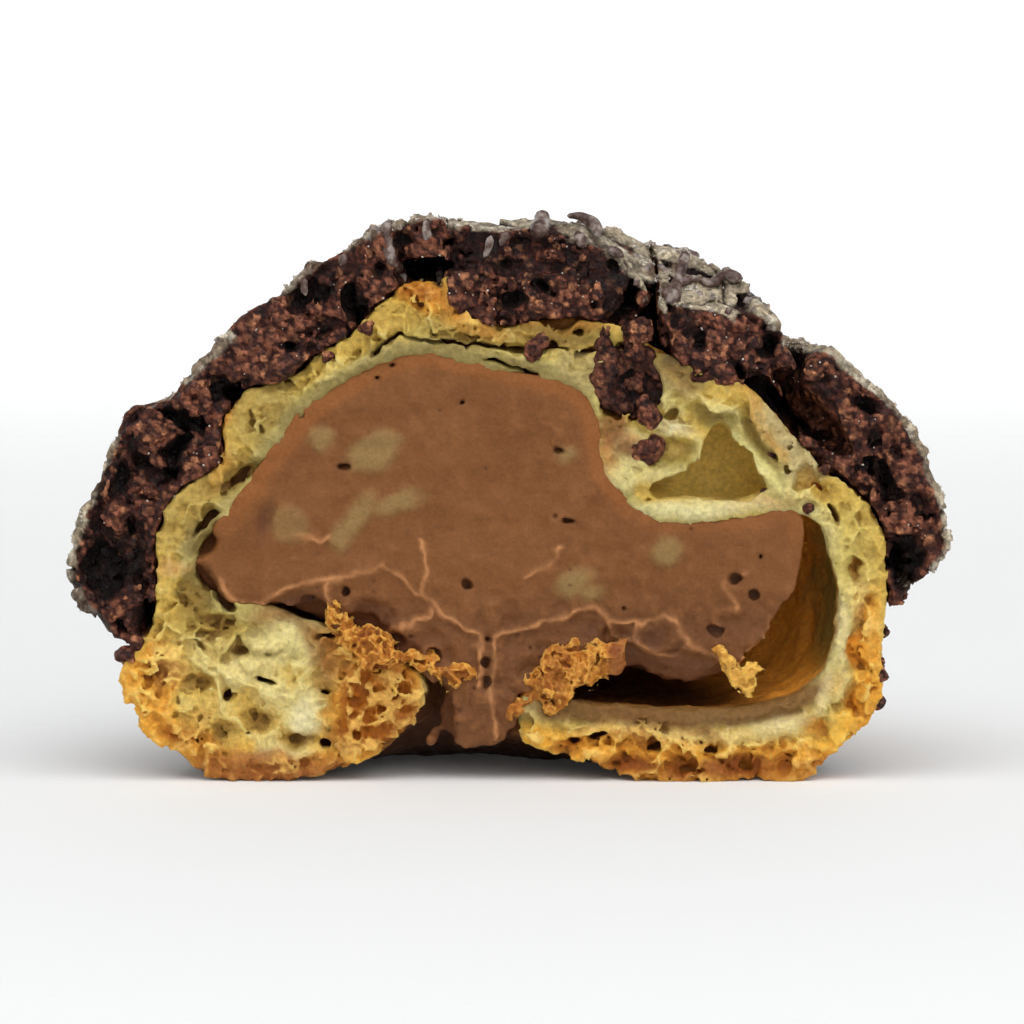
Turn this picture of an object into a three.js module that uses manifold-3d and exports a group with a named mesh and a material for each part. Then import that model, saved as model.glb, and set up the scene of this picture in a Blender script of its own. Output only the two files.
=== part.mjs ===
// Half of a round chocolate cream puff, cut straight down through its middle.
// A choux shell, filled with chocolate cream, carries a thick crust of chocolate cookie dough.
// The cut face looks towards -Y, the rounded back towards +Y and the base rests on Z = 0.
// Lengths are in millimetres. Inside this file the cut lies at Y = 0 and the puff's own axis is Z.

import * as THREE from "three";
import { mergeVertices } from "three/addons/utils/BufferGeometryUtils.js";
import Module from "manifold-3d";

const wasm = await Module();
wasm.setup();

// ---------------------------------------------------------------- driving dimensions

const GAP = 0.3; // clearance between two pieces that touch
const DEPTH_RATIO = 0.97; // depth behind the cut over the width beside the axis
const STEPS_PER_SPAN = 3; // facets between two points of a section
const AZIMUTHS = 36; // facets round a full turn
const REACH = 120; // larger than the puff, for the tool that cuts it in half

const HOLE = { x: -4, mouthRadius: 5.6, topRadius: 5, top: 13 }; // where the cream was piped in
const DROP = { x: -3.6, radius: 3.8, bottom: 3.4, top: 13 }; // cream that hangs in the hole
const RECESS = { x: -4, profile: [[19, 0], [14, 1.2], [10, 2.5], [6, 4], [0, 4.6]] }; // as [radius, height]
const FRACTURE_DEPTH = 9; // how far behind the cut the crown's crust has broken off
const BUBBLE_DEPTH = 8;
const CHIP_RISE = 0.9; // how steeply the chipped front of the crown climbs behind the cut
const BEVEL = { most: 2, ofDepth: 1 / 3, flare: 0.6 }; // rounds off the edges of what is cut with a prism

// A crumb of the crust that has slipped down, a wedge where the crust has lifted off the choux on the right,
// and a hollow where it arches over the choux's peak near the crown.
const SLIPPED_CRUMB = { center: [12.1, 1.4, 40.4], radii: [3.3, 3.4, 3.6], seed: 1.3 };
const LIFTED_WEDGE = { center: [30, 0, 37.2], radii: [6.4, 10, 1.9], tilt: THREE.MathUtils.degToRad(47) };
const ARCH_HOLLOW = { center: [-8.6, 0, 51.4], radii: [3.1, 7, 1.6] };

// ---------------------------------------------------------------- sections through the cut

// Each section is two half outlines, as [distance from the axis, height], from the crown down and round to
// the axis below. Points with the same index in both halves belong together.
const CRUST_OUTER = {
  right: [
    [0, 56], [4, 57], [9, 56.4], [17, 53.6], [23, 51.2], [28, 45], [32, 43.6], [37, 40], [42, 32.5],
    [44.2, 24.4], [42.5, 21], [39, 17.8], [30, 19], [0, 21],
  ],
  left: [
    [0, 56], [5, 56.7], [11, 56.2], [16.5, 54.3], [23, 49.6], [31, 42.3], [35, 38.9], [38.4, 36.6],
    [42.2, 28.5], [44.2, 21.4], [42.6, 17.4], [38.6, 13.4], [30, 15.5], [0, 21],
  ],
};

const CHOUX_OUTER = {
  right: [
    [0, 45.4], [5, 46.4], [10, 46], [15, 43.2], [22.5, 40.2], [25.5, 38], [28.5, 34.6], [32, 31], [36, 28],
    [38, 22], [37.2, 14], [37.4, 8.4], [34.5, 3], [29, 0], [20, 0], [0, 0],
  ],
  left: [
    [0, 45.4], [3.6, 46.4], [8, 50.2], [12, 49], [16.5, 44.5], [26.5, 39.2], [28.7, 36], [28.8, 32],
    [32.4, 29.8], [35.2, 26], [35.6, 17], [39.3, 10.4], [36.4, 4.4], [31, 0], [22, 0], [0, 0],
  ],
};

const CAVITY = {
  right: [
    [0, 41], [5, 40.2], [8.3, 38], [9, 33.4], [11, 28.8], [15, 26.4], [22, 26.4], [28.5, 27.4], [32, 24],
    [33.4, 17], [31.8, 10.8], [26, 7.8], [15, 7.2], [0, 8.6],
  ],
  left: [
    [0, 41], [5, 42.4], [10, 43], [15.5, 41], [20.5, 37.2], [24, 32.6], [27.8, 27.2], [31.8, 21.8],
    [28.6, 18.2], [22, 17.6], [16.5, 15.2], [12, 12.2], [6, 9.8], [0, 8.6],
  ],
};

// The cream fills the cavity but for a pocket on the right, where it has its own side and underside.
const CREAM_FREE_SIDE = [[29.2, 23.6], [27.6, 18], [24, 13], [18.6, 10], [10, 12], [0, 8.9]];
const CREAM = {
  right: [...CAVITY.right.slice(0, -CREAM_FREE_SIDE.length), ...CREAM_FREE_SIDE],
  left: CAVITY.left,
};

// Shapes in the plane of the cut, as [x, z]: where the crust has broken, the two chunks that broke off,
// where their front is chipped, and a bubble in the choux.
const BROKEN_EDGE = [
  [-5.7, 60], [-5.9, 50.6], [-4.6, 44], [-8, 40], [16, 36], [29, 34], [29.4, 42], [28.4, 47], [27.6, 60],
];
const CROWN_CHUNK = [
  [-5.4, 60], [-5.6, 50.6], [-4.2, 44], [9.2, 43], [14.2, 48.4], [13.4, 52.5], [11.4, 60],
];
const SHOULDER_CHUNK = [
  [12.2, 60], [14.4, 52], [15, 44.4], [17.4, 38], [27, 36], [28.2, 42], [27.4, 47], [26, 60],
];
const CHIPPED_FRONT = [
  [-4, 64], [-3, 56.6], [4, 54.6], [9, 52], [13.6, 49.4], [15.4, 47.8], [24, 46.8], [28, 46], [30, 64],
];
const BUBBLE = [
  [13, 28.9], [18, 28.2], [24, 27.9], [26.6, 29.3], [24.4, 33.2], [21.4, 36.2], [19.6, 35.4], [18.2, 32],
  [15, 31],
];

// ---------------------------------------------------------------- helpers

// A closed three.js geometry as a solid that can be cut and joined.
function solidOf(geometry) {
  const bare = new THREE.BufferGeometry();
  bare.setAttribute("position", geometry.getAttribute("position").clone());
  if (geometry.index) bare.setIndex(geometry.index.clone());
  const merged = mergeVertices(bare, 1e-4);
  return new wasm.Manifold(
    new wasm.Mesh({
      numProp: 3,
      vertProperties: new Float32Array(merged.attributes.position.array),
      triVerts: new Uint32Array(merged.index.array),
    }),
  );
}

function geometryOf(solid) {
  const mesh = solid.getMesh();
  const geometry = new THREE.BufferGeometry();
  geometry.setAttribute("position", new THREE.BufferAttribute(mesh.vertProperties, mesh.numProp));
  geometry.setIndex(new THREE.BufferAttribute(mesh.triVerts, 1));
  geometry.computeVertexNormals();
  return geometry;
}

// Baking leaves the round back slightly uneven. This moves points behind the cut only, all layers alike.
function unevenBack(x, y, z) {
  const azimuth = Math.atan2(y, x);
  const behind = Math.sin(azimuth) ** 2;
  const bulges = 0.022 * Math.sin(3 * azimuth + 0.6) + 0.014 * Math.cos(5 * azimuth + z / 9);
  const swell = 1 + behind * bulges;
  const lift = 1 + 0.03 * behind * Math.sin(2 * azimuth + 0.4) * (Math.hypot(x, y) / 44);
  return new THREE.Vector3(x * swell, y * swell, z * lift);
}

// Points along one half outline, each moved outwards by offset.
function halfOutline(points, offset) {
  const curve = new THREE.CatmullRomCurve3(
    points.map(([r, z]) => new THREE.Vector3(r, z, 0)),
    false,
    "centripetal",
  );
  const count = (points.length - 1) * STEPS_PER_SPAN;
  return Array.from({ length: count + 1 }, (_, i) => {
    const at = curve.getPoint(i / count);
    const along = curve.getTangent(i / count);
    const isOnAxis = i === 0 || i === count;
    const r = isOnAxis ? 0 : Math.max(at.x - along.y * offset, 0.2);
    return { r, z: at.y + along.x * offset };
  });
}

// A body turned about Z, whose section changes smoothly from the right half outline, round the back, to the
// left one.
function turnedBody(section, offset = 0, lowest = -REACH) {
  const right = halfOutline(section.right, offset);
  const left = halfOutline(section.left, offset);
  const last = right.length - 1;
  const place = (i, azimuth) => {
    const toLeft = (1 - Math.cos(azimuth)) / 2;
    const r = THREE.MathUtils.lerp(right[i].r, left[i].r, toLeft);
    const z = Math.max(THREE.MathUtils.lerp(right[i].z, left[i].z, toLeft), lowest);
    return unevenBack(r * Math.cos(azimuth), r * Math.sin(azimuth) * DEPTH_RATIO, z);
  };
  const points = [place(0, 0)];
  for (let i = 1; i < last; i++)
    for (let a = 0; a < AZIMUTHS; a++) points.push(place(i, (a * 2 * Math.PI) / AZIMUTHS));
  points.push(place(last, 0));

  const at = (i, a) => 1 + (i - 1) * AZIMUTHS + (a % AZIMUTHS);
  const bottom = points.length - 1;
  const faces = [];
  for (let a = 0; a < AZIMUTHS; a++) {
    faces.push(0, at(1, a), at(1, a + 1));
    for (let i = 1; i < last - 1; i++) {
      faces.push(at(i, a), at(i + 1, a), at(i + 1, a + 1));
      faces.push(at(i, a), at(i + 1, a + 1), at(i, a + 1));
    }
    faces.push(bottom, at(last - 1, a + 1), at(last - 1, a));
  }
  return solidOf(new THREE.BufferGeometry().setFromPoints(points).setIndex(faces));
}

// A prism from just before the cut to the given depth behind it, with an outline in the plane of the cut.
// With a rise it climbs behind the cut by that much for each millimetre of depth.
function prismBehindCut(outline, depth, { grow = 0, rise = 0 } = {}) {
  const shape = new THREE.Shape(outline.map(([x, z]) => new THREE.Vector2(x, z)));
  const bevel = Math.min(BEVEL.most, depth * BEVEL.ofDepth);
  const geometry = new THREE.ExtrudeGeometry(shape, {
    depth: depth + 1 - bevel,
    bevelThickness: bevel,
    bevelSize: bevel * BEVEL.flare,
    bevelOffset: grow - bevel * BEVEL.flare,
    bevelSegments: 2,
  });
  geometry.translate(0, 0, -depth - grow);
  geometry.rotateX(Math.PI / 2);
  const climb = new THREE.Matrix4().makeShear(0, 0, 0, rise, 0, 0);
  return solidOf(geometry.applyMatrix4(climb));
}

// A lump with an uneven surface, such as a broken crumb.
function lump({ center, radii, seed }, grow = 0) {
  const geometry = new THREE.IcosahedronGeometry(1, 3);
  const position = geometry.getAttribute("position");
  const p = new THREE.Vector3();
  for (let i = 0; i < position.count; i++) {
    p.fromBufferAttribute(position, i).normalize();
    const ridges = 0.1 * Math.sin(4 * p.x + seed) * Math.cos(3 * p.z - seed);
    p.multiplyScalar(1 + ridges + 0.07 * Math.sin(5 * p.y + 2 * seed));
    position.setXYZ(i, p.x * (radii[0] + grow), p.y * (radii[1] + grow), p.z * (radii[2] + grow));
  }
  return solidOf(geometry.translate(...center));
}

function ellipsoid({ center, radii, tilt = 0 }) {
  const geometry = new THREE.SphereGeometry(1, 20, 12);
  geometry.scale(...radii).rotateY(tilt).translate(...center);
  return solidOf(geometry);
}

// A round body about a vertical axis at x, with its profile as [radius, height] from bottom to top.
function roundAt(x, profile) {
  const geometry = new THREE.LatheGeometry(profile.map(([r, z]) => new THREE.Vector2(r, z)), 20);
  geometry.rotateX(Math.PI / 2);
  geometry.translate(x, 0, 0);
  return solidOf(geometry);
}

function cutInHalf(solid) {
  const inFront = new THREE.BoxGeometry(REACH * 2, REACH, REACH * 2).translate(0, -REACH / 2, 0);
  return solid.subtract(solidOf(inFront));
}

// ---------------------------------------------------------------- pieces

const liftedWedge = ellipsoid(LIFTED_WEDGE);
const archHollow = ellipsoid(ARCH_HOLLOW);
const roomForCrumb = lump(SLIPPED_CRUMB, GAP);

function makeChoux() {
  const hole = roundAt(HOLE.x, [
    [0, -1], [HOLE.mouthRadius, -1], [HOLE.mouthRadius, 5], [HOLE.topRadius, HOLE.top], [0, HOLE.top],
  ]);
  const rim = RECESS.profile[0][0];
  const recess = roundAt(RECESS.x, [[0, -1], [rim, -1], ...RECESS.profile]);
  return cutInHalf(turnedBody(CHOUX_OUTER, 0, 0))
    .subtract(turnedBody(CAVITY))
    .subtract(hole)
    .subtract(recess)
    .subtract(prismBehindCut(BUBBLE, BUBBLE_DEPTH))
    .subtract(liftedWedge)
    .subtract(roomForCrumb);
}

function makeCream() {
  const drop = roundAt(DROP.x, [
    [0, DROP.bottom], [DROP.radius * 0.7, DROP.bottom + 0.4], [DROP.radius, DROP.bottom + 2.4],
    [DROP.radius, DROP.top - 1], [0, DROP.top],
  ]);
  const filling = turnedBody(CREAM, -GAP).intersect(turnedBody(CAVITY, -GAP)).add(drop);
  return cutInHalf(filling).subtract(roomForCrumb);
}

const crustAroundChoux = cutInHalf(turnedBody(CRUST_OUTER))
  .subtract(turnedBody(CHOUX_OUTER, GAP, -1))
  .subtract(liftedWedge)
  .subtract(roomForCrumb);

const makeMainCrust = () =>
  crustAroundChoux
    .subtract(archHollow)
    .subtract(prismBehindCut(BROKEN_EDGE, FRACTURE_DEPTH, { grow: GAP }));

const makeChunk = (outline) =>
  crustAroundChoux
    .intersect(prismBehindCut(outline, FRACTURE_DEPTH - GAP))
    .subtract(prismBehindCut(CHIPPED_FRONT, FRACTURE_DEPTH + 1, { rise: CHIP_RISE }));

const makeSlippedCrumb = () => cutInHalf(lump(SLIPPED_CRUMB));

// ---------------------------------------------------------------- assembly

const cookie = new THREE.MeshStandardMaterial({ color: 0x45291f, roughness: 0.85, metalness: 0 });
const choux = new THREE.MeshStandardMaterial({ color: 0xd3b060, roughness: 0.8, metalness: 0 });
const cream = new THREE.MeshStandardMaterial({ color: 0x87583d, roughness: 0.5, metalness: 0 });

const puff = new THREE.Group();
puff.name = "cut_chocolate_cream_puff";

function addPiece(name, solid, material) {
  const mesh = new THREE.Mesh(geometryOf(solid), material);
  mesh.name = name;
  puff.add(mesh);
}

addPiece("choux_shell", makeChoux(), choux);
addPiece("chocolate_cream", makeCream(), cream);
addPiece("cookie_crust", makeMainCrust(), cookie);
addPiece("crust_chunk_crown", makeChunk(CROWN_CHUNK), cookie);
addPiece("crust_chunk_shoulder", makeChunk(SHOULDER_CHUNK), cookie);
addPiece("crust_crumb_slipped", makeSlippedCrumb(), cookie);

// The part's origin is the middle of its bounding box, on the surface it stands on.
const extent = new THREE.Box3().setFromObject(puff);
const middle = extent.getCenter(new THREE.Vector3());
puff.position.set(-middle.x, -middle.y, -extent.min.z);

export default puff;
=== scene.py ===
"""The looks of a cut chocolate cream puff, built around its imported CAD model.

Each visible piece is sculpted as a signed distance field, which starts from the CAD node that it replaces.
Crumbs, pores, cells and ridges change the field before it is turned into a mesh. Sizes are in millimetres
where nothing else is said, and meshes are made in metres. A place is given by x, y and z, where y runs from
the cut to the back, and a place on the cut face by x and its height alone.
"""

import math
from concurrent.futures import ThreadPoolExecutor
from itertools import product

import bpy
import numpy as np
import openvdb
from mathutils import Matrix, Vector


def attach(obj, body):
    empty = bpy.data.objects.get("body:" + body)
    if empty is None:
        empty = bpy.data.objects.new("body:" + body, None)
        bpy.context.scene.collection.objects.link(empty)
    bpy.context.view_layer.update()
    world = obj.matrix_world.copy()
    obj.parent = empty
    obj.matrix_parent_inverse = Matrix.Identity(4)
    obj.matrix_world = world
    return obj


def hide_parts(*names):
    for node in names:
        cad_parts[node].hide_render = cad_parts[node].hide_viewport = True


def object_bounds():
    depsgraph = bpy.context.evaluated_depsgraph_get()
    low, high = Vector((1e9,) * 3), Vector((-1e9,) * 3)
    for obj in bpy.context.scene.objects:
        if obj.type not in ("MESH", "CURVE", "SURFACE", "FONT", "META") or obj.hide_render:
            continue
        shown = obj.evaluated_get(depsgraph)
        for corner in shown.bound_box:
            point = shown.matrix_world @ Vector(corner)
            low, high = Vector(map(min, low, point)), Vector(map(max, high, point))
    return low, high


MM = 0.001
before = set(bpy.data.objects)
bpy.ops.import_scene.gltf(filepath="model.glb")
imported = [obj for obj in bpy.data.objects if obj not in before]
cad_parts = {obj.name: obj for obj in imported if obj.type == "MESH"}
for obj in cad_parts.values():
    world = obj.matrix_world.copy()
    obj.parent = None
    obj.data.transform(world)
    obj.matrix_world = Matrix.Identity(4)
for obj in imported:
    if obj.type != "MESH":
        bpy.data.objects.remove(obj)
cad_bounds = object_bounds()
LOW = np.array(cad_bounds[0]) / MM
HIGH = np.array(cad_bounds[1]) / MM
CUT_Y = LOW[1]  # the cut face, which looks towards -Y
HALF_WIDTH = (HIGH[0] - LOW[0]) / 2
HEIGHT = HIGH[2]

FINE = 0.22  # spacing of the field's samples at the cut
MOST_TRIANGLES = 190_000  # in one piece
MOST_IN_CREAM = 150_000
SLACK = 0.05  # how far a piece may stand in front of the cut before its relief is added


# ---- noise and cells ----

TABLE = 64  # cells after which the random tables repeat
OCTAVE_SHIFT = 17.3  # keeps the octaves of one noise from lining up
CHUNK = 30_000  # places worked on at a time
workers = ThreadPoolExecutor(4)


def in_chunks(function, *arrays):
    """function of arrays with one row for each place, worked out in parallel for CHUNK places at a time."""
    starts = range(0, len(arrays[0]), CHUNK)
    return np.concatenate(list(workers.map(lambda n: function(*(a[n : n + CHUNK] for a in arrays)), starts)))


def smoothstep(low, high, value):
    """0 up to low and 1 from high on, with a soft step between them. It falls where low is above high."""
    t = np.clip((value - low) / (high - low), 0, 1)
    return t * t * (3 - 2 * t)


def smooth_max(a, b, width):
    """The higher of two fields, with a fillet of about the given width where they meet."""
    h = np.clip(0.5 + 0.5 * (a - b) / width, 0, 1)
    return b + (a - b) * h + width * h * (1 - h)


def only_where(needed, function, *arrays):
    """function of the places where it is needed, and 0 for the other places."""
    result = np.zeros(len(needed), np.float32)
    if needed.any():
        result[needed] = function(*(a[needed] for a in arrays))
    return result


def between_corners(q, value_at, ease=False):
    """Values at fractional indices, mixed from what value_at gives for the whole indices around them."""
    base = np.floor(q)
    t = (q - base).astype(np.float32)
    if ease:
        t = t * t * (3 - 2 * t)
    i = base.astype(np.int64)
    total = np.zeros(len(q), np.float32)
    for step in product((0, 1), repeat=3):
        total += np.where(step, t, 1 - t).prod(1) * value_at(i + step)
    return total


def table_index(i):
    """Position in the random tables of each lattice cell, which repeat every TABLE cells."""
    x, y, z = (i % TABLE).T
    return (x * TABLE + y) * TABLE + z


class Noise:
    """Smooth random values from -1 to 1, with features of the given size."""

    def __init__(self, size, seed, octaves=1):
        self.size = np.broadcast_to(np.asarray(size, np.float32), 3)
        self.octaves = octaves
        self.table = np.random.default_rng(seed).random(TABLE**3).astype(np.float32) * 2 - 1

    def __call__(self, p):
        total = 0
        for octave in range(self.octaves):
            q = (p + OCTAVE_SHIFT * octave) / (self.size / 2**octave)
            total = total + between_corners(q, lambda i: self.table[table_index(i)], ease=True) / 2**octave
        return total


class Cells:
    """One random point in each cell of an endless lattice. Gives each place its two nearest points.

    Blocky cells measure distances so that what grows around a point is nearer to a cube than to a ball.
    """

    JITTER = 0.9  # share of its cell that a point may lie in

    def __init__(self, size, seed, blocky=False):
        self.size = np.broadcast_to(np.asarray(size, np.float32), 3)
        self.blocky = blocky
        rng = np.random.default_rng(seed)
        self.place = (0.5 + self.JITTER * (rng.random((TABLE**3, 3)) - 0.5)).astype(np.float32)
        self.number = rng.random(TABLE**3).astype(np.float32)

    def __call__(self, p):
        """Distances to the nearest and second nearest point, and the nearest one's number."""
        q = (p / self.size).astype(np.float32)
        base = np.floor(q)
        part = q - base
        i = base.astype(np.int64)
        first = np.full(len(p), np.inf, np.float32)
        second = first.copy()
        nearest = np.zeros(len(p), np.int64)
        for step in product((-1, 0, 1), repeat=3):
            index = table_index(i + step)
            away = (self.place[index] + np.array(step, np.float32) - part) * self.size
            distance = np.einsum("ij,ij->i", away, away)
            if self.blocky:
                distance = 0.4 * distance + 0.9 * np.abs(away).max(1) ** 2
            closer = distance < first
            second = np.where(closer, first, np.minimum(second, distance))
            first = np.where(closer, distance, first)
            nearest = np.where(closer, index, nearest)
        return np.sqrt(first), np.sqrt(second), self.number[nearest]


# ---- solids as fields ----


def read_all(items, attribute, width, kind=np.float32):
    """An attribute of all the items of a mesh, as an array with a row of the given width for each."""
    values = np.empty(len(items) * width, kind)
    items.foreach_get(attribute, values)
    return values.reshape(-1, width)


class SolidField:
    """The signed distance to one or more CAD nodes: below zero inside them, and above zero outside."""

    SPACING = 0.5
    REACH = 8  # on each side of the surface

    def __init__(self, *names):
        points, faces, count = [], [], 0
        for name in names:
            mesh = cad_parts[name].data
            mesh.calc_loop_triangles()
            points.append(read_all(mesh.vertices, "co", 3) / MM)
            faces.append(read_all(mesh.loop_triangles, "vertices", 3, np.int32) + count)
            count += len(mesh.vertices)
        grid = openvdb.FloatGrid.createLevelSetFromPolygons(
            np.concatenate(points),
            triangles=np.concatenate(faces),
            transform=openvdb.createLinearTransform(self.SPACING),
            halfWidth=self.REACH / self.SPACING,
        )
        low, high = (np.array(corner) for corner in grid.evalActiveVoxelBoundingBox())
        low, high = low - 2, high + 2
        self.values = np.empty(tuple(high - low + 1), np.float32)
        grid.copyToArray(self.values, ijk=tuple(int(n) for n in low))
        self.low = low * self.SPACING
        self.box = np.concatenate(points).min(0), np.concatenate(points).max(0)

    def __call__(self, p):
        q = (p - self.low) / self.SPACING
        q = np.clip(q, 0, np.array(self.values.shape) - 1.001)
        return between_corners(q, lambda i: self.values[tuple(i.T)])


class DepthGrid:
    """Sample places for a piece, close together at the cut and further apart behind it."""

    FLAT_DEPTH = 4  # how far behind the cut the finest spacing reaches
    MARGIN = 2.5  # room around the piece

    def __init__(self, box, growth):
        low, high = box[0] - self.MARGIN, box[1] + self.MARGIN
        depths = [max(low[1], CUT_Y - self.MARGIN)]
        while depths[-1] < high[1]:
            behind = max(depths[-1] - CUT_Y - self.FLAT_DEPTH, 0)
            depths.append(depths[-1] + FINE * (1 + growth * behind))
        self.y = np.array(depths)
        self.scale = 1 + growth * np.maximum(self.y - CUT_Y - self.FLAT_DEPTH, 0)
        self.middle = np.array([(low[0] + high[0]) / 2, (low[2] + high[2]) / 2])
        self.half = (np.array([high[0] - low[0], high[2] - low[2]]) / 2 / FINE).astype(int) + 1
        self.count = 2 * self.half + 1

    def sideways(self, axis, index, scale):
        """x for axis 0 or height for axis 1 at grid indices, where the spacing is scaled."""
        return self.middle[axis] + (index - self.half[axis]) * FINE * scale

    def places(self, index):
        """The places of fractional grid indices."""
        j = np.clip(index[:, 1], 0, len(self.y) - 1)
        y = np.interp(j, np.arange(len(self.y)), self.y)
        scale = np.interp(j, np.arange(len(self.y)), self.scale)
        return np.stack([self.sideways(0, index[:, 0], scale), y, self.sideways(1, index[:, 2], scale)], 1)


PROUD = 1.5  # how far above a plain surface its relief may stand


def sculpt(start, detail, box, band=2.6, loose=False, growth=0.08):
    """Vertices and triangles of the surface where detail(places, start) is zero.

    start is the plain field. detail is only worked out from the band's depth below its surface to PROUD above
    it. Separate parts are kept only where they are loose. growth is how much wider the spacing of the samples
    gets with each millimetre of depth.
    """
    grid = DepthGrid(box, growth)
    shape = (grid.count[0], len(grid.y), grid.count[1])
    field = np.full(shape, band, np.float32)
    i, k = np.arange(shape[0]), np.arange(shape[2])
    places, starts, targets = [], [], []
    for j in range(shape[1]):
        x, z = grid.sideways(0, i, grid.scale[j]), grid.sideways(1, k, grid.scale[j])
        use_x = np.flatnonzero((x > box[0][0] - band) & (x < box[1][0] + band))
        use_z = np.flatnonzero((z > box[0][2] - band) & (z < box[1][2] + band))
        if not (len(use_x) and len(use_z)):
            continue
        xx, zz = np.meshgrid(x[use_x], z[use_z], indexing="ij")
        p = np.stack([xx.ravel(), np.full(xx.size, grid.y[j]), zz.ravel()], 1).astype(np.float32)
        value = start(p)
        near = (value > -band) & (value < PROUD)
        if near.any():
            places.append(p[near])
            starts.append(value[near])
            rows, columns = np.repeat(use_x, len(use_z)), np.tile(use_z, len(use_x))
            targets.append(np.ravel_multi_index((rows[near], j, columns[near]), shape))
        field[np.ix_(use_x, [j], use_z)] = value.reshape(len(use_x), 1, len(use_z))
    near_field = in_chunks(detail, np.concatenate(places), np.concatenate(starts))
    field.ravel()[np.concatenate(targets)] = near_field
    vdb = openvdb.FloatGrid(band)
    vdb.copyFromArray(np.clip(field, -band, band))
    points, triangles, quads = vdb.convertToPolygons(0, 0)
    points = grid.places(np.asarray(points, float))
    quads = np.asarray(quads).reshape(-1, 4)
    faces = np.concatenate([np.asarray(triangles).reshape(-1, 3), quads[:, [0, 1, 2]], quads[:, [0, 2, 3]]])
    return (points, faces) if loose else biggest_part(points, faces)


def biggest_part(points, faces):
    """Drops floating bits and closed bubbles, so that one connected surface is left."""
    label = np.arange(len(points))
    edges = np.concatenate([faces[:, [0, 1]], faces[:, [1, 2]], faces[:, [2, 0]]])
    while True:
        lowest = np.minimum(label[edges[:, 0]], label[edges[:, 1]])
        new = label.copy()
        np.minimum.at(new, edges[:, 0], lowest)
        np.minimum.at(new, edges[:, 1], lowest)
        new = new[new]
        if (new == label).all():
            break
        label = new
    kinds, sizes = np.unique(label, return_counts=True)
    keep = label == kinds[sizes.argmax()]
    renumber = np.cumsum(keep) - 1
    return points[keep], renumber[faces[keep[faces[:, 0]]]]


# ---- meshes ----


def make_mesh(name, points, faces):
    mesh = bpy.data.meshes.new(name)
    mesh.vertices.add(len(points))
    mesh.vertices.foreach_set("co", (np.asarray(points) * MM).astype(np.float32).ravel())
    mesh.loops.add(faces.size)
    mesh.loops.foreach_set("vertex_index", faces.astype(np.int32).ravel())
    mesh.polygons.add(len(faces))
    mesh.polygons.foreach_set("loop_start", np.arange(0, faces.size, 3, dtype=np.int32))
    mesh.update(calc_edges=True)
    mesh.validate()
    piece = bpy.data.objects.new(name, mesh)
    bpy.context.scene.collection.objects.link(piece)
    return piece


def thin_out(piece, most=MOST_TRIANGLES):
    """Merges the least needed triangles until the piece has at most the given number."""
    count = len(piece.data.polygons)
    if count > most:
        modifier = piece.modifiers.new("thin out", "DECIMATE")
        modifier.ratio = most / count
        bpy.context.view_layer.update()
        thinned = bpy.data.meshes.new_from_object(piece.evaluated_get(bpy.context.evaluated_depsgraph_get()))
        piece.modifiers.clear()
        piece.data = thinned
        thinned.name = piece.name
    piece.data.shade_smooth()
    return piece


def vertex_places(piece):
    return read_all(piece.data.vertices, "co", 3) / np.float32(MM)


def set_tint(piece, colours):
    """Keeps a colour for each vertex, which the piece's material reads."""
    attribute = piece.data.attributes.new("tint", "FLOAT_COLOR", "POINT")
    rgba = np.ones((len(colours), 4), np.float32)
    rgba[:, :3] = np.clip(colours, 0, 1)
    attribute.data.foreach_set("color", rgba.ravel())


def finish_piece(piece, material, slot, *replaced):
    piece.data.materials.clear()
    piece.data.materials.append(material)
    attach(piece, "root")
    if replaced:
        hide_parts(*replaced)
    return piece


def sculpted_piece(name, material, slot, replaced, start, detail, box, tint, most=MOST_TRIANGLES, **options):
    """A piece with sculpt's surface and the colours tint(places), shown instead of the replaced nodes."""
    piece = thin_out(make_mesh(name, *sculpt(start, detail, box, **options)), most)
    set_tint(piece, in_chunks(tint, vertex_places(piece)))
    return finish_piece(piece, material, slot, *replaced)


# ---- shader nodes ----


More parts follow.
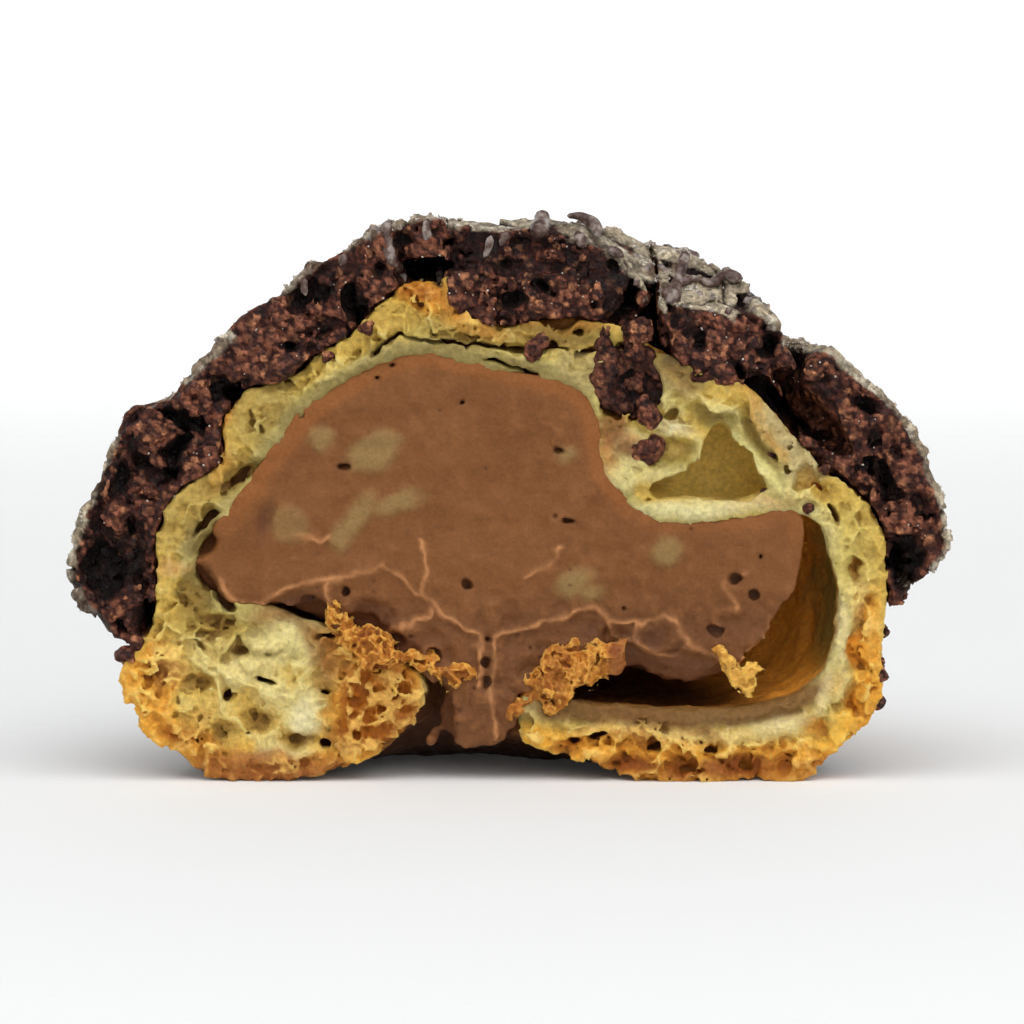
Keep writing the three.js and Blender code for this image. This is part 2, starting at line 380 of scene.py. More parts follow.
class Shader:
    """A material with a Principled shader, built by short calls."""

    def __init__(self, name, **constants):
        self.material = bpy.data.materials.new(name)
        self.material.use_nodes = True
        self.tree = self.material.node_tree
        self.surface = self.tree.nodes["Principled BSDF"]
        for socket, value in constants.items():
            self.surface.inputs[socket.replace("_", " ")].default_value = value
        self.place = self.add("ShaderNodeTexCoord").outputs["Object"]

    def add(self, kind, **settings):
        node = self.tree.nodes.new(kind)
        for name, value in settings.items():
            setattr(node, name, value)
        return node

    def link(self, source, target):
        if isinstance(source, (int, float)):
            target.default_value = source
        elif isinstance(source, tuple):
            target.default_value = (*source, 1)[: len(target.default_value)]
        else:
            self.tree.links.new(source, target)

    def texture(self, kind, size, **inputs):
        """A texture node with features of the given size in millimetres."""
        mapping = self.add("ShaderNodeMapping")
        mapping.inputs["Scale"].default_value = [1 / (size * MM)] * 3
        self.link(self.place, mapping.inputs["Vector"])
        node = self.add(kind)
        self.link(mapping.outputs[0], node.inputs["Vector"])
        for name, value in {"Scale": 1, **inputs}.items():
            node.inputs[name].default_value = value
        return node

    def noise(self, size, detail=3, rough=0.5):
        """Noise from 0 to 1."""
        return self.texture("ShaderNodeTexNoise", size, Detail=detail, Roughness=rough).outputs["Fac"]

    def spots(self, size, output="Distance"):
        """Distance to scattered points, or another output of a Voronoi texture."""
        return self.texture("ShaderNodeTexVoronoi", size).outputs[output]

    def ramp(self, factor, *stops):
        """Colours or values at positions from 0 to 1."""
        node = self.add("ShaderNodeValToRGB")
        elements = node.color_ramp.elements
        while len(elements) < len(stops):
            elements.new(0.5)
        for element, (position, value) in zip(elements, stops):
            element.position = position
            element.color = (*value, 1) if isinstance(value, tuple) else (value, value, value, 1)
        self.link(factor, node.inputs["Fac"])
        return node.outputs["Color"]

    def mix(self, factor, a, b, blend="MIX"):
        node = self.add("ShaderNodeMix", data_type="RGBA", blend_type=blend)
        self.link(factor, node.inputs["Factor"])
        self.link(a, node.inputs[6])
        self.link(b, node.inputs[7])
        return node.outputs[2]

    def bump(self, height, depth, below=None):
        """A bump whose full height is depth, in millimetres, laid over another bump's normals."""
        node = self.add("ShaderNodeBump")
        node.inputs["Distance"].default_value = depth * MM
        node.inputs["Strength"].default_value = 1
        self.link(height, node.inputs["Height"])
        if below:
            self.link(below, node.inputs["Normal"])
        return node.outputs["Normal"]

    def finish(self, colour, roughness, normal=None):
        self.link(colour, self.surface.inputs["Base Color"])
        self.link(roughness, self.surface.inputs["Roughness"])
        if normal:
            self.link(normal, self.surface.inputs["Normal"])
        return self.material


def srgb(*values):
    """A linear colour from the usual values of red, green and blue, from 0 to 255."""
    shares = [value / 255 for value in values]
    return tuple(c / 12.92 if c <= 0.04045 else ((c + 0.055) / 1.055) ** 2.4 for c in shares)


def tinted(s, size, strength=0.35, detail=4):
    """The piece's own tint, made lighter and darker by noise of the given size."""
    tint = s.add("ShaderNodeAttribute", attribute_name="tint").outputs["Color"]
    shade = s.ramp(s.noise(size, detail=detail, rough=0.6), (0.25, 1 - strength), (0.75, 1 + strength))
    return s.mix(1.0, tint, shade, "MULTIPLY")


def crust_material():
    """Cookie with the piece's tint, whose grains are lighter or darker and more or less shiny."""
    s = Shader("cookie_crust", Specular_IOR_Level=0.2)
    shade = s.ramp(s.spots(0.42, output="Color"), (0.1, 0.35), (0.5, 0.85), (0.8, 1.3), (0.97, 2.0))
    colour = s.mix(0.8, tinted(s, 0.3, 0.35), shade, "MULTIPLY")
    rough = s.ramp(s.spots(0.6, output="Color"), (0.16, 0.14), (0.3, 0.5), (0.6, 0.8))
    grain = s.bump(s.spots(0.42), -0.2)
    return s.finish(colour, rough, s.bump(s.noise(0.22, detail=3, rough=0.65), 0.12, below=grain))


def choux_material():
    """Baked choux with the piece's tint, which lets a little light through."""
    s = Shader("choux", Specular_IOR_Level=0.25, Subsurface_Weight=0.4, Subsurface_Scale=0.0012)
    s.surface.inputs["Subsurface Radius"].default_value = (1.0, 0.75, 0.25)
    colour = tinted(s, 0.5, 0.28)
    rough = s.ramp(s.noise(1.1), (0.3, 0.35), (0.7, 0.7))
    relief = s.bump(s.noise(0.5, detail=5, rough=0.65), 0.3)
    return s.finish(colour, rough, relief)


def cream_material():
    """Chocolate cream with the piece's tint, smooth and a little waxy."""
    s = Shader("chocolate_cream", Specular_IOR_Level=0.14, Subsurface_Weight=0.1, Subsurface_Scale=0.0006)
    s.surface.inputs["Subsurface Radius"].default_value = (1.0, 0.5, 0.3)
    colour = tinted(s, 0.35, 0.16)
    rough = s.ramp(s.noise(0.8), (0.3, 0.45), (0.7, 0.65))
    relief = s.bump(s.noise(0.4, detail=4), 0.12)
    return s.finish(colour, rough, relief)


# ---- shared fields ----

choux_solid = SolidField("choux_shell")
whole_crust = SolidField("cookie_crust", "crust_chunk_crown", "crust_chunk_shoulder")
cream_solid = SolidField("chocolate_cream")
HEART = np.array([0, CUT_Y, 0.4 * HEIGHT], np.float32)  # middle of the hollow, at the cut

swell = Noise(6, 21, octaves=2)
wobble = Noise(2.2, 22, octaves=2)
ripple = Noise(0.9, 23, octaves=2)


def behind_cut(p):
    return p[:, 1] - CUT_Y


def moved_to(p, y):
    """The same places, but with another y."""
    flat = p.copy()
    flat[:, 1] = y
    return flat


def unit(vectors, least=0.0):
    """The vectors' directions. least is added to their lengths, so that none is divided by zero."""
    return vectors / (np.linalg.norm(vectors, axis=1, keepdims=True) + least)


APART = 37.0  # distance between the places where noise is read for the pushes in x, y and z


def pushed(p, amount, noise):
    push = [noise(p), noise(p + APART), noise(p + 2 * APART)]
    return (p + amount * np.stack(push, 1)).astype(np.float32)


def bent(p, amount):
    """Places pushed about by noise, so that straight and round shapes come out uneven."""
    return pushed(p, amount, wobble)


def frayed(p, amount):
    """Places pushed about by small noise."""
    return pushed(p, amount, ripple)


def billow(noise, p):
    """Rounded lumps with sharp creases between them, from 0 to 1."""
    return np.minimum(np.abs(noise(p)) * 2.2, 1)


def crease(noise, p, width):
    """1 on thin winding lines, falling to 0 beside them."""
    return np.clip(1 - np.abs(noise(p)) / width, 0, 1) ** 2


def bowls(p, cells, wall=0.3):
    """Rounded hollows of uneven depth, from 0 on the thin walls between them to 1, and their numbers."""
    first, second, number = cells(p)
    return (0.3 + 0.7 * number) * smoothstep(0.0, wall, (second - first) / cells.size.mean()), number


def oval(p, x, z, half_width, half_height, tilt=0):
    """Distance-like field on the cut face: below zero inside an oval and above it outside."""
    turn = math.radians(tilt)
    dx, dz = p[:, 0] - x, p[:, 2] - z
    u = dx * math.cos(turn) + dz * math.sin(turn)
    v = -dx * math.sin(turn) + dz * math.cos(turn)
    return (np.hypot(u / half_width, v / half_height) - 1) * min(half_width, half_height)


def nearest_oval(p, ovals):
    return np.minimum.reduce([oval(p, *place) for place in ovals])


def inside(p, ovals, soft=0.8):
    """1 inside any of the ovals and 0 outside, with a soft edge."""
    return 1 - smoothstep(-soft, soft, nearest_oval(p, ovals))


def route_distance(p, route):
    """Distance on the cut face to a line through the given places."""
    best = np.full(len(p), np.inf, np.float32)
    q = p[:, [0, 2]]
    for start, end in zip(route[:-1], route[1:]):
        start, along = np.array(start, np.float32), np.array(end, np.float32) - np.array(start, np.float32)
        t = np.clip(((q - start) @ along) / (along @ along), 0, 1)
        best = np.minimum(best, np.linalg.norm(q - start - t[:, None] * along, axis=1))
    return best


def nearest_route(p, routes):
    return np.minimum.reduce([route_distance(p, route) for route in routes])


def height_of(line, p):
    """Height of a line through places on the cut face, above or below each place."""
    line_x, line_z = np.array(line, float).T
    return np.interp(p[:, 0], line_x, line_z)


def routes_field(p, routes, depth, flatness):
    """Distance to rods along routes of (x, height, radius), at a depth and made flatter by a factor."""
    best = np.full(len(p), np.inf, np.float32)
    away = (behind_cut(p) - depth) * flatness
    for route in routes:
        for (x, z, r), (x2, z2, r2) in zip(route[:-1], route[1:]):
            along = np.array([x2 - x, z2 - z], np.float32)
            offset = p[:, [0, 2]] - np.array([x, z], np.float32)
            t = np.clip((offset @ along) / (along @ along), 0, 1)
            sideways = np.linalg.norm(offset - t[:, None] * along, axis=1)
            best = np.minimum(best, np.hypot(sideways, away) - (r + t * (r2 - r)))
    return best


def bulge(p, places):
    """How far the outside is pushed out around places (x, height, radius, push) near the cut."""

    def total_push(q):
        away = [np.hypot(q[:, 0] - x, q[:, 2] - z) / radius for x, z, radius, _ in places]
        total = sum(push * np.exp(-(share**2)) for share, (_, _, _, push) in zip(away, places))
        return total * (1 - smoothstep(4, 9, behind_cut(q)))

    return only_where(behind_cut(p) < 9, total_push, p)


def box_of(places, margin):
    places = np.array(places, float)
    return places.min(0) - margin, places.max(0) + margin


def box_of_routes(routes, margin):
    return box_of([(x, CUT_Y, z) for route in routes for x, z, _ in route], margin)


def blend_colours(start, *layers):
    """Colours for each place: a start colour, then each layer's (mask, colour) laid over it."""
    colour = np.broadcast_to(np.array(srgb(*start), np.float32), (len(layers[0][0]), 3)).copy()
    for mask, over in layers:
        mask = np.clip(mask, 0, 1)[:, None]
        colour += (np.asarray(srgb(*over), np.float32) - colour) * mask
    return colour


# ---- crust ----

heaps = Noise(4.4, 11)
knobs = Noise(2.1, 12)
bits = Noise(1.05, 13)
pits = Noise(2.6, 16, octaves=2)
grains = Cells(1.15, 14, blocky=True)
fine_grains = Cells(0.62, 15, blocky=True)
pebbles = Cells(1.5, 17)
beads = Cells(1.2, 19)
crackle = Cells(8.5, 18)


def granules(p, cells):
    """Grains of uneven height, from 0 in the gaps between them to 1, and their random numbers."""
    first, _, number = cells(p)
    away = first / (0.62 * cells.size.mean())
    dome = np.clip(1 - away ** (4 if cells.blocky else 2), 0, 1)
    return (0.3 + 0.7 * number) * np.sqrt(dome), number


# An oval in any list is (x, height, half width, half height), with its tilt in degrees if it has one.
# Ovals that are the deepest gaps between clumps of the broken crust, which are also painted black as shade.
GAPS = [
    (-41, 21.2, 2.4, 2.9, 10), (-33.2, 33.6, 1, 1.6, -10), (-27.8, 39.6, 1.5, 1.2, 30),
    (-36.4, 16.6, 1.2, 1.6, 20), (-6.8, 52.2, 2.6, 1.3, 12), (-15.6, 48.4, 1.2, 1.9, 20),
    (0.2, 48.7, 1.1, 0.9), (3.6, 49.6, 1, 0.7, -30), (12.2, 48.8, 1.4, 2.6, -35),
    (28.4, 37.6, 4.9, 1.8, -38), (22.6, 41.6, 1.4, 0.8, -40), (40, 21.4, 2.2, 2.6, 10), (35.6, 37.8, 1, 0.8),
    (37.8, 30.4, 0.8, 1.4, 10), (-38.8, 30.2, 0.8, 1.2, -20), (-22.4, 43.8, 0.9, 0.7),
]


def pit_part(loose, edge):
    """1 in the deep pits of the broken cookie, which keep away from its edge, and 0 on its crumbs."""
    scattered = 0.8 * smoothstep(0.05, 0.8, pits(loose)) * smoothstep(0.4, 1.8, edge)
    gaps = 1.3 * inside(bent(loose, 0.5), GAPS, 0.8) * smoothstep(0.6, 2.0, outer_edge(loose))
    return np.maximum(scattered, gaps)


HEAP, KNOB, BIT = 1.05, 0.75, 0.4  # heights of the lumps in broken crumb, from large to small
GRAIN, FINE_GRAIN = 0.7, 0.45  # heights of the grains on them
PIT_DEPTH = 2.0
CRUMB_BACK = 1.5  # how far broken crumb lies back as a whole


def crumb_height(p, edge):
    """Relief of broken cookie: heaped crumbs with sharp creases, and deep pits between them."""
    loose = bent(p, 0.45)
    heap = HEAP * billow(heaps, loose) + KNOB * billow(knobs, loose) + BIT * billow(bits, loose)
    grain = GRAIN * granules(loose, grains)[0] + FINE_GRAIN * granules(p, fine_grains)[0]
    height = heap + grain - PIT_DEPTH * pit_part(loose, edge) - CRUMB_BACK
    return height * np.where(height > 0, 0.3 + 0.4 * smoothstep(0.2, 1.8, edge), 1)


def bead_height(p):
    """Small round beads of chocolate on the crown's skin."""
    first, _, number = beads(p)
    radius = 0.32 + 0.3 * np.clip(number - 0.4, 0, 1)
    where = (number > 0.4) * smoothstep(0.72, 0.8, p[:, 2] / HEIGHT)
    return where * np.sqrt(np.clip(radius**2 - first**2, 0, 1))


CRACK_DEPTH, CRACK_WIDTH = 0.6, 0.6
PEBBLE, BEAD_SHARE = 0.3, 0.8  # height of the skin's pebbles, and the share of a bead that stands out
SKIN_BACK = 0.2  # how far the skin lies back as a whole


def skin_height(p):
    """Relief of the crust's baked outside: low swellings, pebbles, beads and shallow cracks."""
    first, second, number = crackle(bent(p, 0.8))
    crack = CRACK_DEPTH * np.exp(-(((second - first) / CRACK_WIDTH) ** 2)) * smoothstep(0.25, 0.5, number)
    pebble = granules(bent(p, 0.5), pebbles)[0]
    ragged = 1 - smoothstep(1.5, 4.5, behind_cut(p))
    pebble = pebble + ragged * (0.9 * billow(knobs, p) + 0.6 * granules(p, grains)[0] - 0.65)
    uneven = 0.3 * swell(p) + 0.25 * wobble(p) + 0.1 * ripple(p)
    return uneven + PEBBLE * pebble + BEAD_SHARE * bead_height(p) - crack - SKIN_BACK


# Where the crust's outline stands out or lies back, as (x, height, radius, push).
CRUST_BULGES = [
    (-28.4, 45, 3, 0.4), (-34.8, 39.8, 1.8, -1.9), (-37.8, 37.4, 2, 0.3), (-31, 43.2, 1.6, 0.2),
    (29.3, 44.4, 1.6, -2.2), (31.8, 44, 1.4, 0.5), (36.4, 41.2, 2.6, -0.5), (0, 57.2, 5, -1.6),
    (-17, 53.4, 2.2, -1.1), (-23, 49.6, 2, -0.5), (10, 55.4, 3.6, -0.6), (17.4, 53.2, 4.2, -0.8),
    (12.6, 55, 2.4, -0.8), (-43.2, 19.6, 2.4, 0.6), (-42.2, 27.4, 2.4, 0.5), (41.4, 19.8, 1.6, -0.7),
    (-22.6, 41.2, 2.2, 1.3), (-39.4, 13.6, 1.6, -0.6), (29, 45, 1.2, -0.8),
]
# Ovals beside the cut where the crust's skin has broken off.
BARE = [(-37.2, 37, 3.2, 2.6), (-25.8, 46.4, 2.2, 1.8, 35)]
# Ovals near the cut where the crust's skin is palest.
PALE_SKIN = [(17, 50.8, 9, 4.5, -25), (34.2, 41.6, 2.8, 1.8, -35), (1.5, 55.8, 6.5, 1.3)]
# Above this line, as (x, height) on the cut face, the crown has kept its baked skin, which slopes back there.
SKIN_LINE = [
    (-4.8, 62), (-4, 56), (-2, 55.2), (0, 54.8), (4.6, 54.6), (8.8, 53.8), (10.4, 51.2), (13, 49.8),
    (16, 47.8), (24, 46.4), (28, 45.8), (30, 60), (31.6, 60), (32.2, 43), (33.8, 40.4), (36.1, 39.8),
    (36.8, 60),
]


CRUST_EDGE_DEPTH = 3.2  # how far behind the cut the crust's outer edge is measured


def outer_edge(p):
    """Distance to the outer edge of the cut crust, measured in a plane just behind the cut."""
    flat = moved_to(p, CUT_Y + CRUST_EDGE_DEPTH)
    beside_choux = 1 - smoothstep(1.5, 3.0, choux_solid(flat))
    return -whole_crust(flat) + 3 * beside_choux


def open_outside(p):
    """1 where no crust lies further out, so on the crust's outside, and 0 on sides that face other crust."""
    outwards = unit(p - HEART)
    further = np.minimum.reduce([whole_crust(p + step * outwards) for step in (2, 3.5, 5.5)])
    return smoothstep(0.2, 0.9, further)


def broken_part(p):
    """1 where the crust is broken, on its cut face and on sides that don't face outwards, and 0 elsewhere."""
    depth = behind_cut(p)
    at_cut = 1 - smoothstep(1.6, 2.8, depth + 0.8 * wobble(p))
    at_cut *= smoothstep(0.1, 1.0, outer_edge(p) + 0.5 * wobble(p + 5))
    kept = smoothstep(-0.5, 0.7, p[:, 2] - height_of(SKIN_LINE, p) + 0.7 * wobble(p))
    bare = inside(p, BARE, 0.6) * (1 - smoothstep(4.5, 6.5, depth))
    return np.maximum.reduce([at_cut * (1 - kept), bare, 1 - open_outside(p)])


def crumb_colours(p, edge):
    """Dark brown crumbs of random tone, with painted highlights where they stand out and painted shade,
    black, in the gaps and pits between them.
    """
    loose = bent(p, 0.45)
    grain = granules(loose, grains)[1]
    top, crumb = granules(p, fine_grains)
    tone = 0.5 * grain + 0.5 * crumb
    height = crumb_height(p, edge)
    # painted shade on the broken sides deep behind the cut, in the gaps between the chunks
    painted_gap_shade = smoothstep(3, 6, behind_cut(p)) * smoothstep(0.68, 0.74, p[:, 2] / HEIGHT)
    return blend_colours(
        (68, 34, 27),
        (smoothstep(0.45, 0.95, tone), (108, 56, 40)),
        # painted highlight: lighter and redder where the crumbs stand high
        (smoothstep(-0.3, 0.5, height) * smoothstep(0.2, 0.7, top) * 0.8, (142, 88, 64)),
        (smoothstep(0.9, 0.95, crumb) * 0.8, (178, 118, 82)),
        (smoothstep(0.35, 0.1, tone) * 0.8, (30, 14, 18)),
        # painted shade: darker between the grains, in low places, in the pits and in the gaps between the
        # chunks
        (smoothstep(0.3, 0.0, top) * 0.5, (20, 9, 7)),
        (smoothstep(0.15, -0.8, height) * 0.7, (16, 6, 5)),
        (smoothstep(0.15, 0.8, pit_part(loose, edge)) * 0.92, (12, 4, 4)),
        (painted_gap_shade * 0.85, (12, 4, 4)),
    )


def skin_colours(p):
    """Greyish brown skin, with beige patches, grey beads on the crown and a dark hem at the foot. It is paler
    towards the sides, partly sugar bloom and partly a painted sheen, and darker in its cracks and hollows, a
    painted shade.
    """
    lift = skin_height(p)
    beside = smoothstep(0.25, 0.8, np.abs(p[:, 0]) / HALF_WIDTH)
    bead = smoothstep(0.05, 0.2, bead_height(p))
    behind = smoothstep(6, 18, behind_cut(p))
    palest = inside(bent(p, 0.8), PALE_SKIN, 1.5) * (1 - smoothstep(9, 14, behind_cut(p)))
    return blend_colours(
        (102, 80, 65),
        # paler towards the sides: partly sugar bloom, partly a painted sheen
        (0.7 * beside, (154, 138, 114)),
        (0.6 * behind, (104, 74, 56)),
        (0.85 * palest, (184, 170, 144)),
        (smoothstep(0.0, 0.8, swell(p + 11) + 0.5 * wobble(p)) * (0.8 - 0.35 * behind), (168, 154, 128)),
        (smoothstep(0.1, 0.9, ripple(p) + 0.3 * lift) * (0.75 - 0.3 * behind), (214, 204, 184)),
        (smoothstep(0.2, 1.0, wobble(p + 23)) * (1 - beside) * 0.8, (84, 52, 38)),
        # painted shade in the skin's cracks and hollows
        (smoothstep(-0.1, -0.6, lift), (50, 34, 28)),
        (bead * 0.9, (138, 126, 122)),
        (smoothstep(24, 15, p[:, 2]) * 0.85, (52, 34, 30)),
    )


LUMP_ROOM = 2.5  # around lumps of crumb
CRUST_BAND = 3.4  # how deep the crust's relief may reach


def crust_tint(p, edge, broken):
    skin = skin_colours(p)
    return skin + (crumb_colours(p, edge) - skin) * smoothstep(0.35, 0.6, broken)[:, None]


cookie = crust_material()


def crust_piece(name, node, left=0.0, right=0.0, above=0.0, lumps=(), whole=True, shade=1.0, **options):
    """A piece of crust. left and right say how far it reaches past its solid, to close the gap beside it.

    It reaches to the right only above a height. lumps are rods of crumb along routes of (x, height, radius),
    which stand on the cut face. A piece that isn't whole has no skin, only crumb. shade makes it darker.
    """
    solid = SolidField(node)
    low, high = solid.box
    if lumps:
        low_lump, high_lump = box_of_routes(lumps, LUMP_ROOM)
        low, high = np.minimum(low, low_lump), np.maximum(high, high_lump)

    def start(p):
        field = solid(p)
        if left:
            field = np.minimum(field, solid(p + (left, 0, 0)))
        if right:
            field = np.minimum(field, solid(p + (-right, 0, 0.5 * right)) + np.maximum(above - p[:, 2], 0))
        field = np.maximum(field, CUT_Y - SLACK - p[:, 1])
        return np.minimum(field, routes_field(p, lumps, 0.6, 1.4)) if lumps else field

    def edge(p):
        """Distance to the piece's edge, measured 3 mm further back than each place."""
        return -solid(moved_to(p, np.maximum(p[:, 1], CUT_Y) + 3))

    def broken_here(p):
        return broken_part(p) if whole else np.ones(len(p), np.float32)

    def detail(p, d):
        broken = broken_here(p)
        lining = (1 - smoothstep(1.0, 2.2, choux_solid(p))) * smoothstep(4, 7, behind_cut(p))
        crumbs = only_where(broken > 0, lambda q: crumb_height(q, edge(q)), p)
        skin = only_where(broken < 1, skin_height, p)
        relief = skin + (crumbs - skin) * broken + bulge(p, CRUST_BULGES)
        return d - relief * (1 - lining) + 0.3 * lining

    def tint(p):
        # shade darkens the whole piece: a painted shade for a piece that stands out into more light
        return shade * crust_tint(p, edge(p), broken_here(p))

    return sculpted_piece(
        name, cookie, "cookie_crust", [node], start, detail, (low, high), tint, band=CRUST_BAND, **options
    )


# ---- choux ----

# Ovals on the cut face that are deep holes, painted dark as shade.
DARK_HOLES = [
    (-24.6, 10.1, 1.2, 0.42, -8), (-28.4, 8.8, 0.5, 0.8, 10), (-26.3, 5.1, 0.5, 0.3, -15),
    (-18.9, 9.3, 0.6, 0.4), (-18.7, 3.9, 0.8, 0.55, -30), (-17.9, 14.8, 1.1, 0.4, 10),
    (-28.6, 18.6, 0.7, 1.5, 25), (-30.4, 25.9, 1.9, 0.45, 38), (26.2, 33.1, 0.5, 0.4, -30),
    (27.6, 31.8, 0.5, 0.4, -45), (25.4, 29.6, 0.3, 0.25), (16.2, 36.9, 0.9, 0.4, 20),
    (4.4, 44.2, 0.8, 0.35, -10), (7.6, 43.4, 1.1, 0.35, 8), (30.6, 29.6, 0.8, 0.25, -35),
    (-27.3, 30.6, 1.5, 0.4, 35), (4.7, 46.2, 0.6, 0.4), (7, 45.2, 0.5, 0.4), (32.5, 26.8, 1.2, 0.35, -60),
    (14.6, 3.4, 1, 0.4, 5), (8.6, 4.4, 1.1, 0.5, 10), (20, 3.2, 0.8, 0.4),
]
# Ovals that are shallow hollows.
HOLLOWS = [
    (-29.8, 15.8, 2.4, 1.3, 5), (-31.6, 19.3, 1.8, 2.3), (-31.6, 9.8, 1.4, 1, 10), (-28.9, 4.8, 1.1, 0.8),
    (-25.4, 6.2, 1.5, 0.9, -15), (-23.9, 13.1, 0.8, 0.3), (-25.6, 15, 0.8, 0.35, 15),
    (-21.8, 12.4, 0.7, 0.25, 5), (-21.6, 4.4, 1.3, 0.9), (-27.2, 12.6, 1.6, 0.8, 20), (34.9, 13.3, 1.2, 2.1),
    (34.7, 8, 0.6, 0.8), (30.7, 5.6, 1.6, 1, 10), (34.6, 21.5, 0.9, 1.2), (-27.6, 23.4, 1.6, 2.6, -40),
    (-29.4, 24.3, 2, 1.1, 35), (-27, 30.8, 2, 0.9, 35), (1.4, 40.6, 1.4, 0.8, -20), (5, 46, 1.4, 0.8),
    (24.4, 34.9, 2.5, 0.65, -56), (20.1, 36.7, 1.7, 0.6, -20), (16.4, 33.1, 2.2, 1.1), (-34.5, 26, 0.6, 0.6),
    (11.6, 1.8, 1.3, 0.7, 10), (17.4, 1.6, 1.1, 0.8), (23.6, 1.4, 1.4, 0.7, -5), (5.6, 3.4, 1.1, 0.8, -20),
    (27.6, 1.8, 0.8, 0.7), (14.4, 3.6, 0.9, 0.6), (20.6, 3.4, 1.2, 0.6, 10), (9, 3.6, 0.9, 0.5),
]
# Ovals where the choux is a smooth film.
SMOOTH = [
    (-22.6, 14, 3.6, 2.2, -12), (-20.9, 7.4, 2.2, 2.7), (-25.4, 11.9, 3.4, 1, 8), (-23.4, 9, 1.2, 3, 50),
    (-27.6, 10.6, 2, 0.9, -20), (-23, 3, 3.6, 0.9, 5), (19, 27.6, 6, 0.9, 2), (10.6, 30.6, 2.4, 1.4, 10),
    (15.2, 31.2, 3.2, 1, 5), (18.7, 32.9, 0.9, 1.8, -10), (12, 33.5, 2.4, 2.2), (27.4, 5.8, 3.6, 1.2, 8),
    (31.6, 9.4, 1, 2.6, -15), (33.2, 15.6, 0.9, 4, 3), (32.9, 9.9, 1.2, 1.5, -10),
]
# Ovals where it is golden and crumbly.
CRUMBLY = [
    (-13.2, 7.6, 5.2, 5.6), (-15.6, 14.6, 2.6, 3, 20), (-36.4, 9, 3, 5.4, -25), (-33.4, 3.6, 5, 2.6, -30),
    (-22, 0.8, 9, 1.6), (12, 3, 10, 2.2, -4), (27, 1.6, 9, 1.9, 4), (35.8, 8, 1.6, 5, -10),
    (36.2, 14, 1.4, 5), (-29.5, 33.5, 1.2, 3), (-9.2, 49, 3, 1.9, -10), (-3.6, 46.2, 2.6, 0.9, -25),
]
# Raised strands and cracks, through places on the cut face.
STRANDS = [
    [(29.2, 27.2), (31.7, 25.6), (32.9, 19.3), (32.4, 12.1), (28.3, 7.7), (22, 6.9), (13, 6.6)],
    [(19.7, 35.1), (21.8, 34.3), (24.3, 32), (25.9, 30.3), (30, 28.6)],
    [(22.6, 40), (24.3, 39), (24.9, 36.6), (25.9, 35.4), (26.9, 33.4)],
    [(17, 39.2), (19.6, 38.2), (22.6, 37.2), (23.2, 35.4)],
    [(14.2, 36.6), (16, 34.9), (18.4, 34.9)],
    [(-19.4, 16.6), (-19.8, 13), (-23.6, 9.4), (-23.4, 4.2)],
    [(-30.4, 12.4), (-26.4, 9.4), (-22.4, 8.6), (-19.6, 12)],
    [(-33.2, 13.4), (-29.6, 10.6), (-29, 7), (-25, 4)],
    [(31.8, 27.4), (34.6, 24.6), (36, 19.4)],
]
CRACKS = [
    [(-13.6, 42.8), (-12.3, 44.1), (-10.5, 44.9), (-7.5, 44.6), (-1.5, 43.6), (2.5, 43.4), (5.7, 43.6)],
    [(-2.5, 42.3), (1, 41.9), (2.8, 40.8)],
]
VOID = [(20, 31.5, 10, 7)]  # an oval around the large bubble
# Choux that clings to the crown, as (x, height, radius).
BEAD = [[(-6.3, 49.8, 0.75), (-5.9, 48.8, 0.6), (-4.8, 47.8, 0.75)]]
